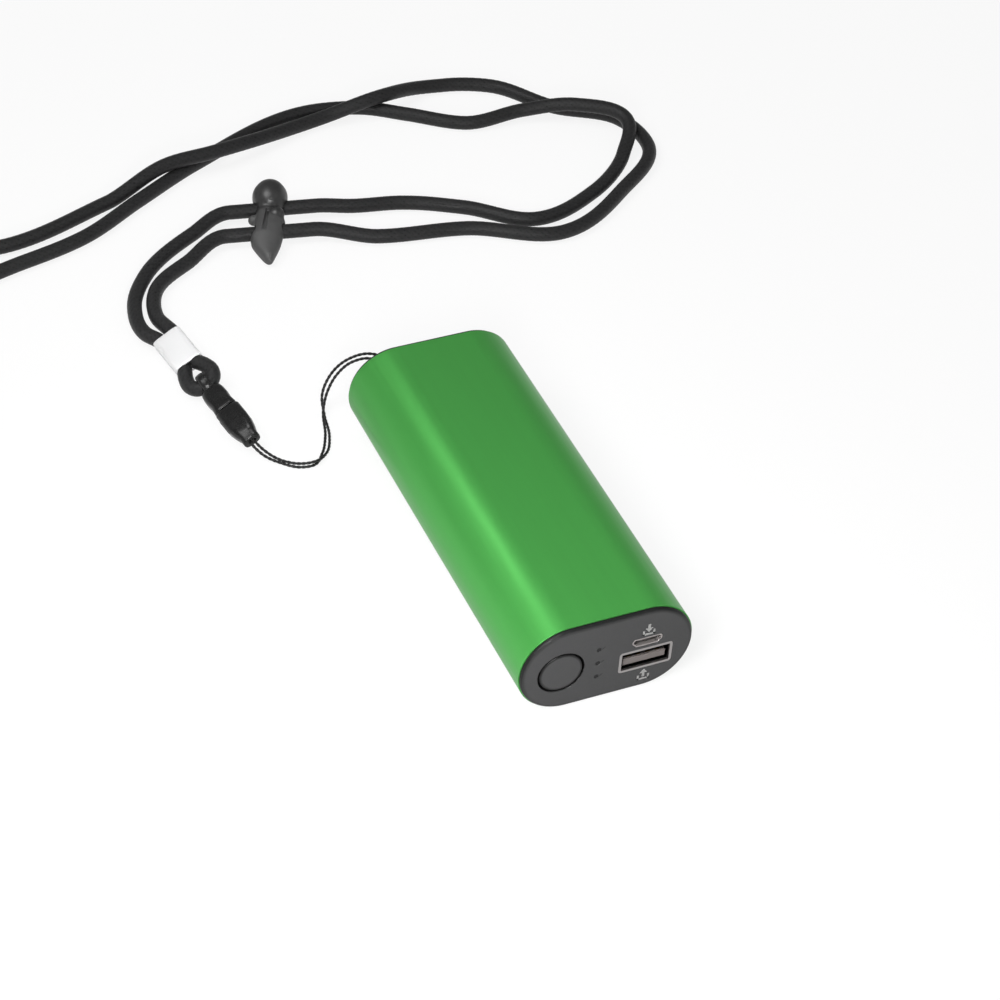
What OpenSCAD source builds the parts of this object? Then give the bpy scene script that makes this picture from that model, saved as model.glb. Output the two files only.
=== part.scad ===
// Rechargeable pocket hand warmer with a detachable neck lanyard.
// Millimetres. The warmer lies on its flat side: +Y runs along it, away from the button and the
// charging ports, +Z is up, and the origin is at the middle of the face that it lies on.

/* [Body] */
// Width of the warmer across its rounded sides
body_w = 45; // [43:0.5:52]
// Length of the warmer over both end caps
body_l = 111; // [108:0.5:120]
// Thickness of the warmer
body_t = 25; // [24.5:0.25:28]
// Wall of the aluminium sleeve
sleeve_wall = 1.2; // [0.8:0.1:1.4]

/* [End caps] */
// How far a cap stands out of the sleeve
cap_lip = 1.2; // [1:0.1:2]
// Step from the sleeve's surface in to the cap's
cap_inset = 0.3; // [0.1:0.05:0.6]
// Radius of the cap's outer edge
cap_edge = 0.9; // [0.4:0.1:0.9]
// Thickness of the cap's face
cap_face = 2; // [1.6:0.1:2.6]
// Length of the spigot that enters the sleeve
spigot_len = 6.7; // [6:0.1:8]
// Wall of the spigot
spigot_wall = 1.2; // [0.8:0.1:1.4]
// Clearance between spigot and sleeve
spigot_gap = 0.1; // [0.05:0.05:0.2]

/* [Button and lights] */
// Radius of the power button
button_r = 5.5; // [4.5:0.1:6]
// Gap round the power button
button_gap = 0.55; // [0.3:0.05:0.7]
// How far the button travels when pressed
button_travel = 0.5; // [0.3:0.05:0.6]
// Width of the flange that holds the button in
button_flange = 1.2; // [0.8:0.1:1.4]
// Thickness of the button's flange
button_flange_t = 0.8; // [0.6:0.1:1.2]
// Radius of the button's stem
button_stem_r = 1.5; // [1:0.1:2]
// Gap between the flange and the cap's inner face
button_rest_gap = 0.15; // [0.1:0.05:0.3]
// Radius of each charge light's window
light_r = 0.6; // [0.4:0.05:0.9]
// Radius of the light pipe behind its window
light_pipe_r = 1; // [0.9:0.05:1.3]
// Distance between neighbouring charge lights
light_pitch = 4.35; // [3.5:0.05:5]
// How far the button and the lights lie below the middle of the cap
face_drop = 0.5; // [0:0.1:0.8]

/* [Ports] */
// Height of the output port's middle above the bottom
usb_a_z = 9.7; // [9:0.1:10.2]
// Width of the output port's opening
usb_a_w = 12.5; // [12:0.1:12.8]
// Height of the output port's opening
usb_a_h = 5.12; // [4.8:0.04:5.4]
// Depth of the output port
usb_a_depth = 13.7; // [12:0.1:16]
// Width of the rolled lip round the output port
usb_a_lip = 0.7; // [0.4:0.1:0.9]
// Width of the charging port's opening
micro_w = 7.1; // [6.5:0.1:7.6]
// Height of the charging port's opening
micro_h = 1.9; // [1.8:0.1:2.4]
// Depth of the charging port
micro_depth = 5.4; // [4.6:0.1:6]
// Width of the lip round the charging port
micro_lip = 0.1; // [0.05:0.05:0.3]
// Sheet thickness of both port shells
shell_t = 0.25; // [0.2:0.05:0.4]

/* [Electronics] */
// Thickness of the main circuit board
board_t = 1.4; // [1:0.1:1.6]
// Thickness of the button board
button_board_t = 1; // [0.8:0.1:1.2]
// Side of the pressed switch's square case
switch_w = 6; // [5:0.1:6.4]
// Height of the switch's case
switch_h = 2.2; // [1.9:0.1:2.6]

/* [Cells and heaters] */
// Gap between the two cells
cell_gap = 0.6; // [0.4:0.1:1]
// Gap from a cell to the sleeve's round side
cell_side = 2.6; // [2:0.1:3]
// Depth from the front cap's face to the cells' front ends
cell_depth = 30.5; // [30.5:0.1:32]
// Depth from the rear cap's face to the cells' rear ends
cell_rear_depth = 15.3; // [14:0.1:16]
// Thickness of a cell holder's end plate
holder_t = 3; // [2:0.1:3.2]
// Length of the holder's collar over the cells
collar_l = 4; // [3:0.1:6]
// Thickness of a nickel strip
strip_t = 0.2; // [0.15:0.05:0.3]
// Thickness of a heater film
film_t = 0.3; // [0.2:0.05:0.4]
// Thickness of a heat spreading pad
pad_t = 0.5; // [0.3:0.05:0.6]
// Least thickness of a foam pad
foam_least = 1.2; // [1:0.1:1.6]

/* [Strap string] */
// Diameter of the strap string
string_d = 0.8; // [0.6:0.05:1]
// Distance from the body's middle to the strap's anchor pin, towards the button's side
strap_offset = 8; // [7:0.1:8.5]
// Radius of the anchor pin
pin_r = 1; // [0.8:0.05:1.1]
// Width and height of the pocket round the pin
pocket_w = 6; // [5.6:0.1:6.4]
// Height of the pocket
pocket_h = 5; // [4:0.1:6]
// Depth of the pocket
pocket_depth = 5; // [4.8:0.1:5.4]
// Depth of the pin's axis behind the cap's face
pin_depth = 2.6; // [2.4:0.05:2.8]

/* [Lanyard fittings] */
// Diameter of the neck cord
cord_d = 4; // [3.6:0.1:4.2]
// Length of the crimp
crimp_l = 13; // [11:0.5:14]
// Width of the crimp
crimp_w = 8.4; // [8:0.1:9]
// Thickness of the crimp
crimp_t = 4.4; // [4.2:0.1:4.6]
// Sheet thickness of the crimp
crimp_wall = 0.5; // [0.4:0.05:0.6]
// Distance from the crimp to the middle of the plug's eye
eye_reach = 9; // [8.6:0.1:9.4]
// Wall of the plug's eye
eye_wall = 1.35; // [1:0.05:1.5]
// Thickness of the plug's eye
eye_t = 2.4; // [1.8:0.1:2.6]
// Length of the plug's head
head_l = 9.2; // [8:0.1:12]
// Width of the plug's head
head_w = 6.4; // [5.8:0.1:6.8]
// Thickness of the plug's head
head_t = 4.6; // [4.2:0.1:5]
// Length of the plug's prong
prong_l = 9; // [7:0.1:9.2]
// Width of the plug's prong
prong_w = 3.8; // [3:0.1:4]
// Thickness of the plug's prong
prong_t = 2.2; // [1.8:0.1:2.4]
// Clearance between plug and socket
buckle_gap = 0.3; // [0.2:0.05:0.35]
// Length of the socket
socket_l = 10.7; // [10.5:0.1:12]
// Wall of the socket at its sides
socket_wall = 1.4; // [0.9:0.1:1.5]
// Length of the block that holds the string's ends
string_block_l = 2.4; // [2:0.1:3]

/* [Cord slider] */
// Radius of the slider's round head
bulb_r = 5; // [4.7:0.1:5.2]
// Height of the slider's head, whose crown is a smaller ball
bulb_h = 10.7; // [10.4:0.1:11]
// Radius of the head's crown
crown_r = 4.4; // [4:0.1:4.6]
// Half width of the slider's leaf
leaf_r = 4.6; // [4:0.1:4.9]
// Radius of the leaf's tip
tip_r = 2.2; // [1.6:0.1:2.6]
// Distance from the head's middle to the tip's
slider_l = 23.6; // [22:0.1:25]
// Clearance between the cord and the slider's holes
slider_gap = 0.3; // [0.2:0.05:0.4]

/* [Hidden] */
$fn = 48;

// One overrun for every cut
cut = 1;
// Clearance of pieces that touch or slide in
fit = 0.05;
// Clearance of loose pieces inside the sleeve
loose = 0.15;
// Clearance of boards from the walls beside them
board_side = 0.6;
// Gap that keeps moving pieces off their neighbours
running_gap = 0.3;

// The sleeve's inner outline, and the spigots' inner outline
inner_w = body_w - 2 * sleeve_wall;
inner_t = body_t - 2 * sleeve_wall;
spigot_inner = sleeve_wall + spigot_gap + spigot_wall;
mid_z = body_t / 2;
button_z = mid_z - face_drop;

// The cap's face holds the button, the lights and the ports side by side. The width that they
// leave free is shared out: left of the button, before the lights, before the ports, right of them.
usb_a_lip_w = usb_a_w + 2 * usb_a_lip;
button_outer_r = button_r + button_flange;
face_free = body_w - 2 * (spigot_inner + button_outer_r + light_pipe_r) - usb_a_lip_w;
face_shares = [0.12, 0.165, 0.44, 0.275];
button_x = -body_w / 2 + spigot_inner + face_shares[0] * face_free + button_outer_r;
light_x = button_x + button_outer_r + face_shares[1] * face_free + light_pipe_r;
port_gap = face_shares[2] * face_free;
port_x = light_x + light_pipe_r + port_gap + usb_a_lip_w / 2;

// Button and switch
button_board_depth = cap_lip + spigot_len;
button_edge = 0.3;
button_base = cap_face + button_rest_gap;
plunger_r = 1.6;
plunger_travel_gap = 0.4;
plunger_seat = 0.5;
plunger_side_gap = 0.3;
switch_front = button_board_depth - switch_h;
plunger_proud = 0.16;
plunger_front = switch_front - button_travel - plunger_proud;
plunger_depth = switch_front + plunger_seat;
plunger_bore = plunger_depth + button_travel + plunger_travel_gap;

// Button board, which sits on the spigot's rim, and its posts in the spigot's wall. The edges of
// both boards are shares of the gap between the lights and the ports.
board_left = body_w / 2 - sleeve_wall - board_side;
board_edge_shares = [0.5, 0.87];
button_board_right = light_x + light_pipe_r + board_edge_shares[0] * port_gap;
post_r = 1.3;
post_sunk = 0.3;
post_reach = body_t / 2 - spigot_inner - post_r + post_sunk;
screw_r = 0.6;
screw_head_r = 1.1;
screw_head_t = 0.6;
screw_bite = 3;
chip_gap = 0.3;
light_chip_t = 0.7;
light_chip_w = 1.6;

// Ports
lip_t = 0.4;
lip_back = 0.05;
usb_a_outer_w = usb_a_w + 2 * shell_t;
usb_a_outer_h = usb_a_h + 2 * shell_t;
usb_a_lip_h = usb_a_h + 2 * usb_a_lip;
usb_a_corner = 0.9;
tongue_side = 0.75;
tongue_w = usb_a_w - 2 * tongue_side;
tongue_t = 1.84;
tongue_rise = -0.8;
tongue_front = 0.9;
tongue_back = 9;
contact_count = 4;
contact_pitch_share = 0.2275;
contact_pitch = contact_pitch_share * tongue_w;
contact_w = 1.2;
contact_t = 0.15;
contact_l = 7.5;
board_z = usb_a_z + usb_a_outer_h / 2;
board_top = board_z + board_t;
micro_outer_w = micro_w + 2 * shell_t;
micro_outer_h = micro_h + 2 * shell_t;
micro_z = board_top + micro_outer_h / 2;
micro_front = 0.1;
micro_tongue_side = 1.25;
micro_tongue_w = micro_w - 2 * micro_tongue_side;
micro_tongue_t = 0.6;
micro_tongue_back = 4;
micro_contact_count = 5;
micro_contact_pitch = 0.75;
micro_contact_w = 0.4;
micro_contact_t = 0.1;
micro_contact_l = 2.4;
// The charging port's outline as shares of its half width and half height, from the top right
micro_shares = [[0.88, 1], [1, 0.5], [1, -0.1], [0.72, -1], [-0.72, -1], [-1, -0.1], [-1, 0.5], [-0.88, 1]];

// Main board
board_front = cap_face + board_side;
board_half = body_w / 2 - sleeve_wall - board_side;
tab_left = light_x + light_pipe_r + board_edge_shares[1] * port_gap;
tab_right = body_w / 2 - spigot_inner - board_side;
board_wide_front = button_board_depth + button_board_t;
board_end = cell_depth - strip_t - holder_t - running_gap;
board_l = board_end - board_wide_front;
ledge_l = 5;
ledge_w = 8;
ledge_t = 3;
ledge_inset = 6.7;
ledge_x = board_half - ledge_inset;
board_screw_r = 0.9;
board_screw_head_r = 1.5;
board_screw_head_t = 1;
ledge_screw_depth = board_end - ledge_l / 2;
wire_pad_margin = 1.5;
wire_end_depth = board_end - wire_pad_margin;

// Parts on the main board: width, depth and height of each, then its place as shares of the
// board's half width from its middle and of its length from its front
inductor_size = [7, 7, 3.2];
inductor_shares = [-0.55, 0.38];
boost_chip_size = [6, 6, 0.9];
boost_chip_shares = [-0.13, 0.33];
control_chip_size = [4, 4, 0.8];
control_chip_shares = [0.24, 0.38];
heater_switch_size = [4, 5, 1];
heater_switch_shares = [0.79, 0.22];
heater_switch_pitch = 7;
can_r = 2.5;
can_h = 5.4;
can_shares = [0.51, 0.33];
can_pitch = 6;
ceramic_size = [3.2, 1.6, 1.4];
ceramic_shares = [-0.87, 0.22];
ceramic_pitch = 3;
ceramic_count = 3;

// Cells, holders and strips
// The cells are the largest that fit the sleeve's width and its thickness inside the heaters
stack_t = pad_t + film_t + foam_least + 2 * fit;
cell_d = min((inner_w - 2 * cell_side - cell_gap) / 2, inner_t - 2 * stack_t);
cell_l = body_l - cell_depth - cell_rear_depth;
cell_r = cell_d / 2;
cell_x = cell_r + cell_gap / 2;
cell_front = -body_l / 2 + cell_depth;
cell_back = cell_front + cell_l;
nub_r = 3.2;
nub_h = 0.8;
can_edge = 0.6;
holder_outer_w = inner_w - 2 * loose;
holder_outer_t = inner_t - 2 * loose;
window_w = 4;
window_margin = 1.7;
strip_overhang = 2.5;
strip_w = 2 * (cell_x + strip_overhang);
strip_h = 6;
strip_tab_w = 3;
strip_tab_rise = 0.3;
strip_tab_end = mid_z - cell_r + strip_tab_rise;
groove_w = 4.4;
groove_d = 1.3;

// Heater stack, worked out from the sleeve's inner face towards the cells
stack_side = 0.1;
stack_w = body_w - body_t - 2 * stack_side;
groove_share = 0.6;
groove_x = groove_share * stack_w / 2;
stack_gap = 0.5;
stack_front = cell_front + collar_l + stack_gap;
stack_back = cell_back - collar_l - stack_gap;
pad_z = sleeve_wall;
film_z = pad_z + pad_t;
foam_z = film_z + film_t;
foam_t = mid_z - cell_r - foam_z - 2 * fit;

// Wires
thin_wire_r = 0.35;
wire_r = 0.45;
battery_wire_r = 0.7;
heater_wire_pitch = 2;
bead_r = 1.1;
bead_y = 8;
bead_z = body_t - foam_z - foam_t - bead_r - 2 * fit;
lower_valley_z = body_t - bead_z;

// Strap anchor
strap_x = -strap_offset;
strap_rise = 0.5;
strap_z = mid_z + strap_rise;
pocket_wall = 1;
pin_bite = 0.6;
rib_t = 2;
rib_h = 12;
rib_offset = 4.5;
rib_x = cell_x + rib_offset;

// Lanyard fittings lie on one axis, tilted on their left edge
fitting_origin = [-55.1, 101.5, 3.9];
fitting_turn = -81.5;
fitting_roll = 25;
crimp_corner = 1;
loop_inside = 5;
bend_r = 3.5;
crimped_half = cord_d / 2 + fit;
// The loop past the crimp, as shares of the reach to its bottom and of its bend's radius
loop_shares = [[0, 0.586], [0.31, 0.89], [0.66, 1], [0.91, 0.66]];
eye_x = crimp_l + eye_reach;
eye_r = cord_d / 2 + slider_gap;
neck_w = 5.6;
neck_t = 4;
head_x = eye_x + eye_r;
shoulder_l = 1.6;
prong_x = head_x + head_l;
bump_l = 2.5;
bump_back = 2;
bump_t = 1.6;
socket_x = prong_x + buckle_gap;
socket_w = prong_w + 2 * (buckle_gap + socket_wall);
socket_t = head_t;
socket_end = socket_x + socket_l;
slot_end = prong_x + prong_l - bump_back + buckle_gap;
tail_l = 3;
tail_step = 0.65;
block_w = 4.8;
block_t = 3.4;
string_hole_r = 0.5;
string_hole_half = 0.6;
string_hole_l = 1.6;
fitting_edge = 0.7;

// Slider: its head stands over one strand, and both strands run straight through it
slider_origin = [-8.5, 150.2, 0];
slider_turn = -111.7;
strand_a = [-8.9, 147];
strand_b = [-13.45, 137];
strand_turn = -11.03;
strand_z = 3.4;
strand_reach = 12;
shoulder_r = 3.6;
shoulder_x = 5;
shoulder_z = 4.4;
leaf_x = 16.5;
leaf_z = 3.7;

// The neck cord's route, from one end in the crimp round the wearer's neck to the other. The points
// between the fittings are chosen, and those in the crimp, the slider and the far bend are worked out.
along_strap = [cos(fitting_turn), sin(fitting_turn), 0];
across_strap = cos(fitting_roll) * [-sin(fitting_turn), cos(fitting_turn), 0] + [0, 0, sin(fitting_roll)];
function in_crimp(x, side) = fitting_origin + x * along_strap + side * crimped_half * across_strap;
function in_slider(at, way) = [
  for (u = [-way, way])
    [at[0] + u * strand_reach * cos(strand_turn), at[1] + u * strand_reach * sin(strand_turn), strand_z]
];
from_crimp = [[-59.5, 106.8, 2.6], [-58.5, 119, 2.1], [-51.3, 131.2, 2.1], [-33.5, 144.2, 2.5]];
way_out = [
  [13, 142.2, 2.7], [27.5, 139.8, 2.1], [43, 132.3, 2.1], [60, 120.8, 2.1], [80, 126.8, 2.1],
  [97, 141.5, 2.4], [102.7, 152.3, 5.8], [91.4, 163.1, 6.3], [77.2, 169, 3.6], [60.2, 170, 2.1],
  [45, 179.6, 2.1], [34, 186.6, 2.1], [22, 189.6, 2.1], [-21, 176.1, 2.1], [-42, 164.4, 2.1],
  [-62, 152.8, 2.1], [-80, 147.6, 2.1]
];
bend_middle = [-113, 152.2, 2.1];
far_bend_r = 9;
far_bend_steps = 4;
far_bend = [
  for (i = [0 : far_bend_steps])
    let (a = -90 - 180 * i / far_bend_steps) bend_middle + far_bend_r * [cos(a), sin(a), 0]
];
way_back = [
  [-84.7, 156, 2.1], [-50, 166.4, 2.1], [-31, 173.2, 5.7], [-17, 174.4, 6], [20, 184.8, 2.8],
  [38.4, 185, 6.3], [54.8, 190.5, 2.5], [74.2, 185.2, 2.1], [87.2, 169.8, 2.1], [103.1, 158, 2.1],
  [105.7, 143.4, 2.1], [89, 125.4, 2.1], [64.5, 112.7, 2.1], [40.4, 122.8, 2.1], [14.1, 127.8, 2.1]
];
to_crimp = [[-38.3, 133.3, 2.1], [-50.8, 123.9, 2.1], [-54.4, 113, 2.7]];
neck_route = concat(
  [in_crimp(loop_inside, -1), in_crimp(0, -1)], from_crimp, in_slider(strand_a, 1),
  way_out, far_bend, way_back, in_slider(strand_b, -1), to_crimp,
  [in_crimp(0, 1), in_crimp(loop_inside, 1)]
);
// The spans that run straight, by the number of the point that each starts at: in the crimp and
// through the slider
first_pass = len(from_crimp) + 2;
second_pass = first_pass + 2 + len(way_out) + len(far_bend) + len(way_back);
neck_straights = [0, first_pass, second_pass, len(neck_route) - 2];

// The strap string's route: out of the socket's block, round the anchor pin and back
string_route = [
  [-48.9, 56.3, 3.7], [-48.5, 53.9, 3.4], [-46.3, 51.2, 1.5], [-42.9, 48.3, 0.5],
  [-38.7, 45.1, 0.5], [-35.1, 44.8, 0.5], [-31.6, 48.4, 0.5], [-28.5, 54.4, 0.5],
  [-25.6, 63.4, 2], [-23.7, 66.3, 3.9], [-20.3, 67.8, 8.5], [-16.2, 66.8, 12.5],
  [-12.1, 65.7, 13.2], [-9.9, 62, 13], [-9.6, 57, 13], [-9.6, 52.9, 13], [-9.1, 51.8, 13],
  [-8, 51.3, 13], [-6.9, 51.8, 13], [-6.4, 52.9, 13], [-6.4, 57, 13], [-7.5, 63.4, 13.2],
  [-12.3, 67.1, 13.8], [-17.2, 68.2, 12.4], [-21.9, 68.8, 7.7], [-24.6, 67.1, 3.4],
  [-25.8, 62.1, 0.6], [-27.4, 54.3, 0.5], [-30.6, 48, 0.6], [-35.1, 44.9, 1.5],
  [-39, 46.7, 0.5], [-43.6, 50.3, 0.8], [-45.9, 52.4, 2.2], [-47.5, 54.2, 3.8],
  [-47.9, 56.5, 4.1]
];

// Turn that a cord may make between two rings of its tube, in degrees
ring_turn = 50;
cord_sides = 8;

// A cord's curve: each span between two route points is a cubic, and a straight span is a line
function unit(v) = v / norm(v);
function lead(p, i) =
  i <= 0 ? unit(p[1] - p[0])
  : i >= len(p) - 1 ? unit(p[len(p) - 1] - p[len(p) - 2])
  : unit(norm(p[i + 1] - p[i]) * unit(p[i] - p[i - 1]) + norm(p[i] - p[i - 1]) * unit(p[i + 1] - p[i]));
function heading(p, i, straights) =
  len([for (s = straights) if (i == s || i == s + 1) s]) == 0 ? lead(p, i)
  : unit([for (s = straights) if (i == s || i == s + 1) p[s + 1] - p[s]][0]);
function is_straight(i, straights) = len([for (s = straights) if (i == s) s]) > 0;
function cubic(p, q, u, v, t) =
  let (d = norm(q - p), s = t * t, c = s * t)
  (2 * c - 3 * s + 1) * p + (c - 2 * s + t) * d * u + (3 * s - 2 * c) * q + (c - s) * d * v;
function turn(u, v) = acos(min(1, max(-1, u * v)));
function rings_in(p, i, straights) =
  is_straight(i, straights) ? 1
  : max(1, ceil(turn(heading(p, i, straights), heading(p, i + 1, straights)) / ring_turn));
function lifted(v, r) = [v[0], v[1], max(v[2], r)];
function curve(p, r, straights) = [
  for (i = [0 : len(p) - 2])
    let (n = rings_in(p, i, straights), u = heading(p, i, straights), v = heading(p, i + 1, straights))
      for (k = [0 : n - 1]) lifted(cubic(p[i], p[i + 1], u, v, k / n), r),
  p[len(p) - 1]
];
function flat_side(t) = unit(cross([0, 0, 1], t));

// Tube of a cord along a route, with its rings at the curve's points
module cord(route, d, straights = []) {
  path = curve(route, d / 2, straights);
  rings = len(path);
  points = [
    for (i = [0 : rings - 1])
      let (t = lead(path, i), a = flat_side(t), b = cross(t, a))
        for (k = [0 : cord_sides - 1])
          path[i] + d / 2 * (cos(360 * (k + 0.5) / cord_sides) * a + sin(360 * (k + 0.5) / cord_sides) * b)
  ];
  walls = [
    for (i = [0 : rings - 2], k = [0 : cord_sides - 1])
      let (n = (k + 1) % cord_sides, a = i * cord_sides, b = a + cord_sides)
        each [[a + k, b + n, a + n], [a + k, b + k, b + n]]
  ];
  first = [for (k = [1 : cord_sides - 2]) [0, k, k + 1]];
  last = [for (k = [1 : cord_sides - 2]) (rings - 1) * cord_sides * [1, 1, 1] + [0, k + 1, k]];
  polyhedron(points, concat(walls, first, last));
  echo(rings = rings);
}

// Outline with two round sides, and one with rounded corners
module round_sided(w, t) {
  for (side = [-1, 1]) translate([side * (w - t) / 2, 0]) circle(d = t);
  square([w - t, t], center = true);
}

module round_cornered(w, t, r) {
  square([w - 2 * r, t], center = true);
  square([w, t - 2 * r], center = true);
  for (x = [-1, 1], y = [-1, 1]) translate([x * (w / 2 - r), y * (t / 2 - r)]) circle(r);
}

// Places a piece behind the front cap's face, with its own +Z pointing out of the face
module front(x, z, depth) {
  translate([x, -body_l / 2 + depth, z]) rotate([90, 0, 0]) children();
}

// Places a piece behind the rear cap's face, with its own +Z pointing out of the face
module rear(x, z, depth) {
  translate([x, body_l / 2 - depth, z]) rotate([-90, 0, 0]) children();
}

// Slab between two depths behind the front face, with the body's round-sided outline
module front_slab(w, t, depth, thick) {
  front(0, mid_z, depth + thick) linear_extrude(thick) round_sided(w, t);
}

// Places a part on the main board's top, at shares of the board's half width and length
module on_board(shares, row = 0) {
  translate([shares[0] * board_half, -body_l / 2 + board_wide_front + shares[1] * board_l + row, board_top])
    children();
}

module chip(size) {
  translate([-size[0] / 2, -size[1] / 2, 0]) cube(size);
}

// Cylinder from one point to another
module rod(a, b, r) {
  v = b - a;
  translate(a) rotate([0, acos(v[2] / norm(v)), atan2(v[1], v[0])]) cylinder(h = norm(v), r = r, $fn = 24);
}

// Wire along corner points, with a ball in each bend
module wire(points, r) {
  for (i = [0 : len(points) - 2]) rod(points[i], points[i + 1], r);
  for (i = [1 : len(points) - 2]) translate(points[i]) sphere(r, $fn = 24);
}

// Places a fitting of the lanyard: its own +X runs along the strap from the crimp to the string
module on_strap() {
  translate(fitting_origin) rotate([0, 0, fitting_turn]) rotate([fitting_roll, 0, 0]) children();
}

// Bar along the strap with a rounded section
module strap_bar(x, l, w, t, r) {
  translate([x, 0, 0]) rotate([90, 0, 90]) linear_extrude(l) round_cornered(w, t, r);
}

// Extruded aluminium tube that spreads the heat to the hands
module sleeve() {
  l = body_l - 2 * cap_lip;
  color([0.26, 0.59, 0.27])
    translate([0, l / 2, mid_z]) rotate([90, 0, 0]) linear_extrude(l) difference() {
      round_sided(body_w, body_t);
      round_sided(inner_w, inner_t);
    }
}

// Half of a cap lip's section, from its middle to its rounded outer edge
module lip_half(r, lip, edge) {
  square([r, lip - edge]);
  square([r - edge, lip]);
  translate([r - edge, lip - edge]) intersection() {
    circle(edge);
    square(edge);
  }
}

// Cap's lip outside the sleeve, with a rounded outer edge; its face is at z = lip
module lip_plate(w, t, lip, edge) {
  for (side = [-1, 1]) translate([side * (w - t) / 2, 0, 0]) rotate_extrude() lip_half(t / 2, lip, edge);
  rotate([90, 0, 90]) linear_extrude(w - t, center = true) {
    lip_half(t / 2, lip, edge);
    mirror([1, 0]) lip_half(t / 2, lip, edge);
  }
}

// Lip, face and spigot shared by both caps, with the face at z = 0 and the inside below it
module cap_shell() {
  translate([0, 0, -cap_lip])
    lip_plate(body_w - 2 * cap_inset, body_t - 2 * cap_inset, cap_lip, cap_edge);
  translate([0, 0, -cap_lip - spigot_len]) linear_extrude(spigot_len) difference() {
    round_sided(inner_w - 2 * spigot_gap, inner_t - 2 * spigot_gap);
    round_sided(body_w - 2 * spigot_inner, body_t - 2 * spigot_inner);
  }
  translate([0, 0, -cap_face]) linear_extrude(cap_face - cap_lip)
    round_sided(inner_w - 2 * spigot_gap, inner_t - 2 * spigot_gap);
}

// Front cap with the button's hole, three light windows, both ports and two screw posts
module front_cap() {
  post_l = button_board_depth - cap_face;
  color([0.33, 0.33, 0.34]) difference() {
    union() {
      front(0, mid_z, 0) cap_shell();
      for (side = [-1, 1])
        front(light_x, mid_z + side * post_reach, button_board_depth) cylinder(h = post_l, r = post_r);
    }
    front(button_x, button_z, cap_face + cut) cylinder(h = cap_face + 2 * cut, r = button_r + button_gap);
    for (i = [-1 : 1])
      front(light_x, button_z + i * light_pitch, cap_face + cut)
        cylinder(h = cap_face + 2 * cut, r = light_r + fit);
    front(port_x, usb_a_z, cap_face + cut) linear_extrude(cap_face + 2 * cut)
      square([usb_a_outer_w + 2 * loose, usb_a_outer_h + 2 * loose], center = true);
    front(port_x, usb_a_z, lip_back + lip_t + loose) linear_extrude(cut)
      round_cornered(usb_a_lip_w + 2 * fit, usb_a_lip_h + 2 * fit, usb_a_corner);
    front(port_x, micro_z, cap_face + cut) linear_extrude(cap_face + 2 * cut)
      micro_outline(micro_outer_w + 2 * micro_lip + 2 * fit, micro_outer_h + 2 * micro_lip + 2 * fit);
    for (side = [-1, 1])
      front(light_x, mid_z + side * post_reach, button_board_depth + cut)
        cylinder(h = screw_bite + cut, r = screw_r + fit);
  }
}

// Rear cap with the strap's pocket and two ribs that hold the cell pack down
module rear_cap() {
  block_w = pocket_w + 2 * pocket_wall;
  block_h = pocket_h + 2 * pocket_wall;
  rib_l = cell_rear_depth - strip_t - holder_t - running_gap - cap_face;
  color([0.1, 0.1, 0.11]) difference() {
    union() {
      rear(0, mid_z, 0) cap_shell();
      rear(strap_x, strap_z, pocket_depth + pocket_wall) linear_extrude(pocket_depth + pocket_wall - cap_face)
        square([block_w, block_h], center = true);
      for (side = [-1, 1]) rear(side * rib_x, mid_z, cap_face + rib_l) linear_extrude(rib_l)
        square([rib_t, rib_h], center = true);
    }
    rear(strap_x, strap_z, pocket_depth) linear_extrude(pocket_depth + cut)
      square([pocket_w, pocket_h], center = true);
    translate([strap_x, body_l / 2 - pin_depth, strap_z])
      cylinder(h = pocket_h + 2 * (pin_bite + fit), r = pin_r + fit, center = true);
  }
}

// Flush power button with its holding flange and stem
module power_button() {
  stem_l = plunger_front - button_base - button_flange_t;
  color([0.36, 0.36, 0.37]) {
    front(button_x, button_z, button_base) rotate_extrude() {
      square([button_r, button_base - button_edge]);
      square([button_r - button_edge, button_base]);
      translate([button_r - button_edge, button_base - button_edge]) circle(button_edge);
    }
    front(button_x, button_z, button_base + button_flange_t)
      cylinder(h = button_flange_t, r = button_r + button_flange);
    front(button_x, button_z, plunger_front) cylinder(h = stem_l, r = button_stem_r);
  }
}

// Plunger of the switch, which the button's stem pushes into the case
module switch_plunger() {
  color([0.15, 0.15, 0.15])
    front(button_x, button_z, plunger_depth) cylinder(h = plunger_depth - plunger_front, r = plunger_r);
}

// Square case of the push switch, with the plunger's well
module switch_case() {
  color([0.75, 0.76, 0.78]) difference() {
    front(button_x, button_z, button_board_depth) linear_extrude(switch_h)
      square([switch_w, switch_w], center = true);
    front(button_x, button_z, plunger_bore) cylinder(h = switch_h + cut, r = plunger_r + plunger_side_gap);
  }
}

// Upright board behind the button and the lights
module button_board() {
  w = button_board_right + board_left;
  color([0.07, 0.3, 0.14]) difference() {
    intersection() {
      front_slab(inner_w - 2 * board_side, inner_t - 2 * board_side, button_board_depth, button_board_t);
      front(button_board_right - w / 2, mid_z, button_board_depth + button_board_t + cut)
        linear_extrude(button_board_t + 2 * cut) square([w, body_t], center = true);
    }
    for (side = [-1, 1])
      front(light_x, mid_z + side * post_reach, button_board_depth + button_board_t + cut)
        cylinder(h = button_board_t + 2 * cut, r = screw_r + fit);
  }
}

// Two screws that hold the button board on the front cap's posts
module button_board_screws() {
  back = button_board_depth + button_board_t;
  color([0.7, 0.7, 0.72]) for (side = [-1, 1]) {
    front(light_x, mid_z + side * post_reach, back + screw_head_t)
      cylinder(h = screw_head_t, r = screw_head_r);
    front(light_x, mid_z + side * post_reach, back)
      cylinder(h = screw_bite + button_board_t - fit, r = screw_r);
  }
}

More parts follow.
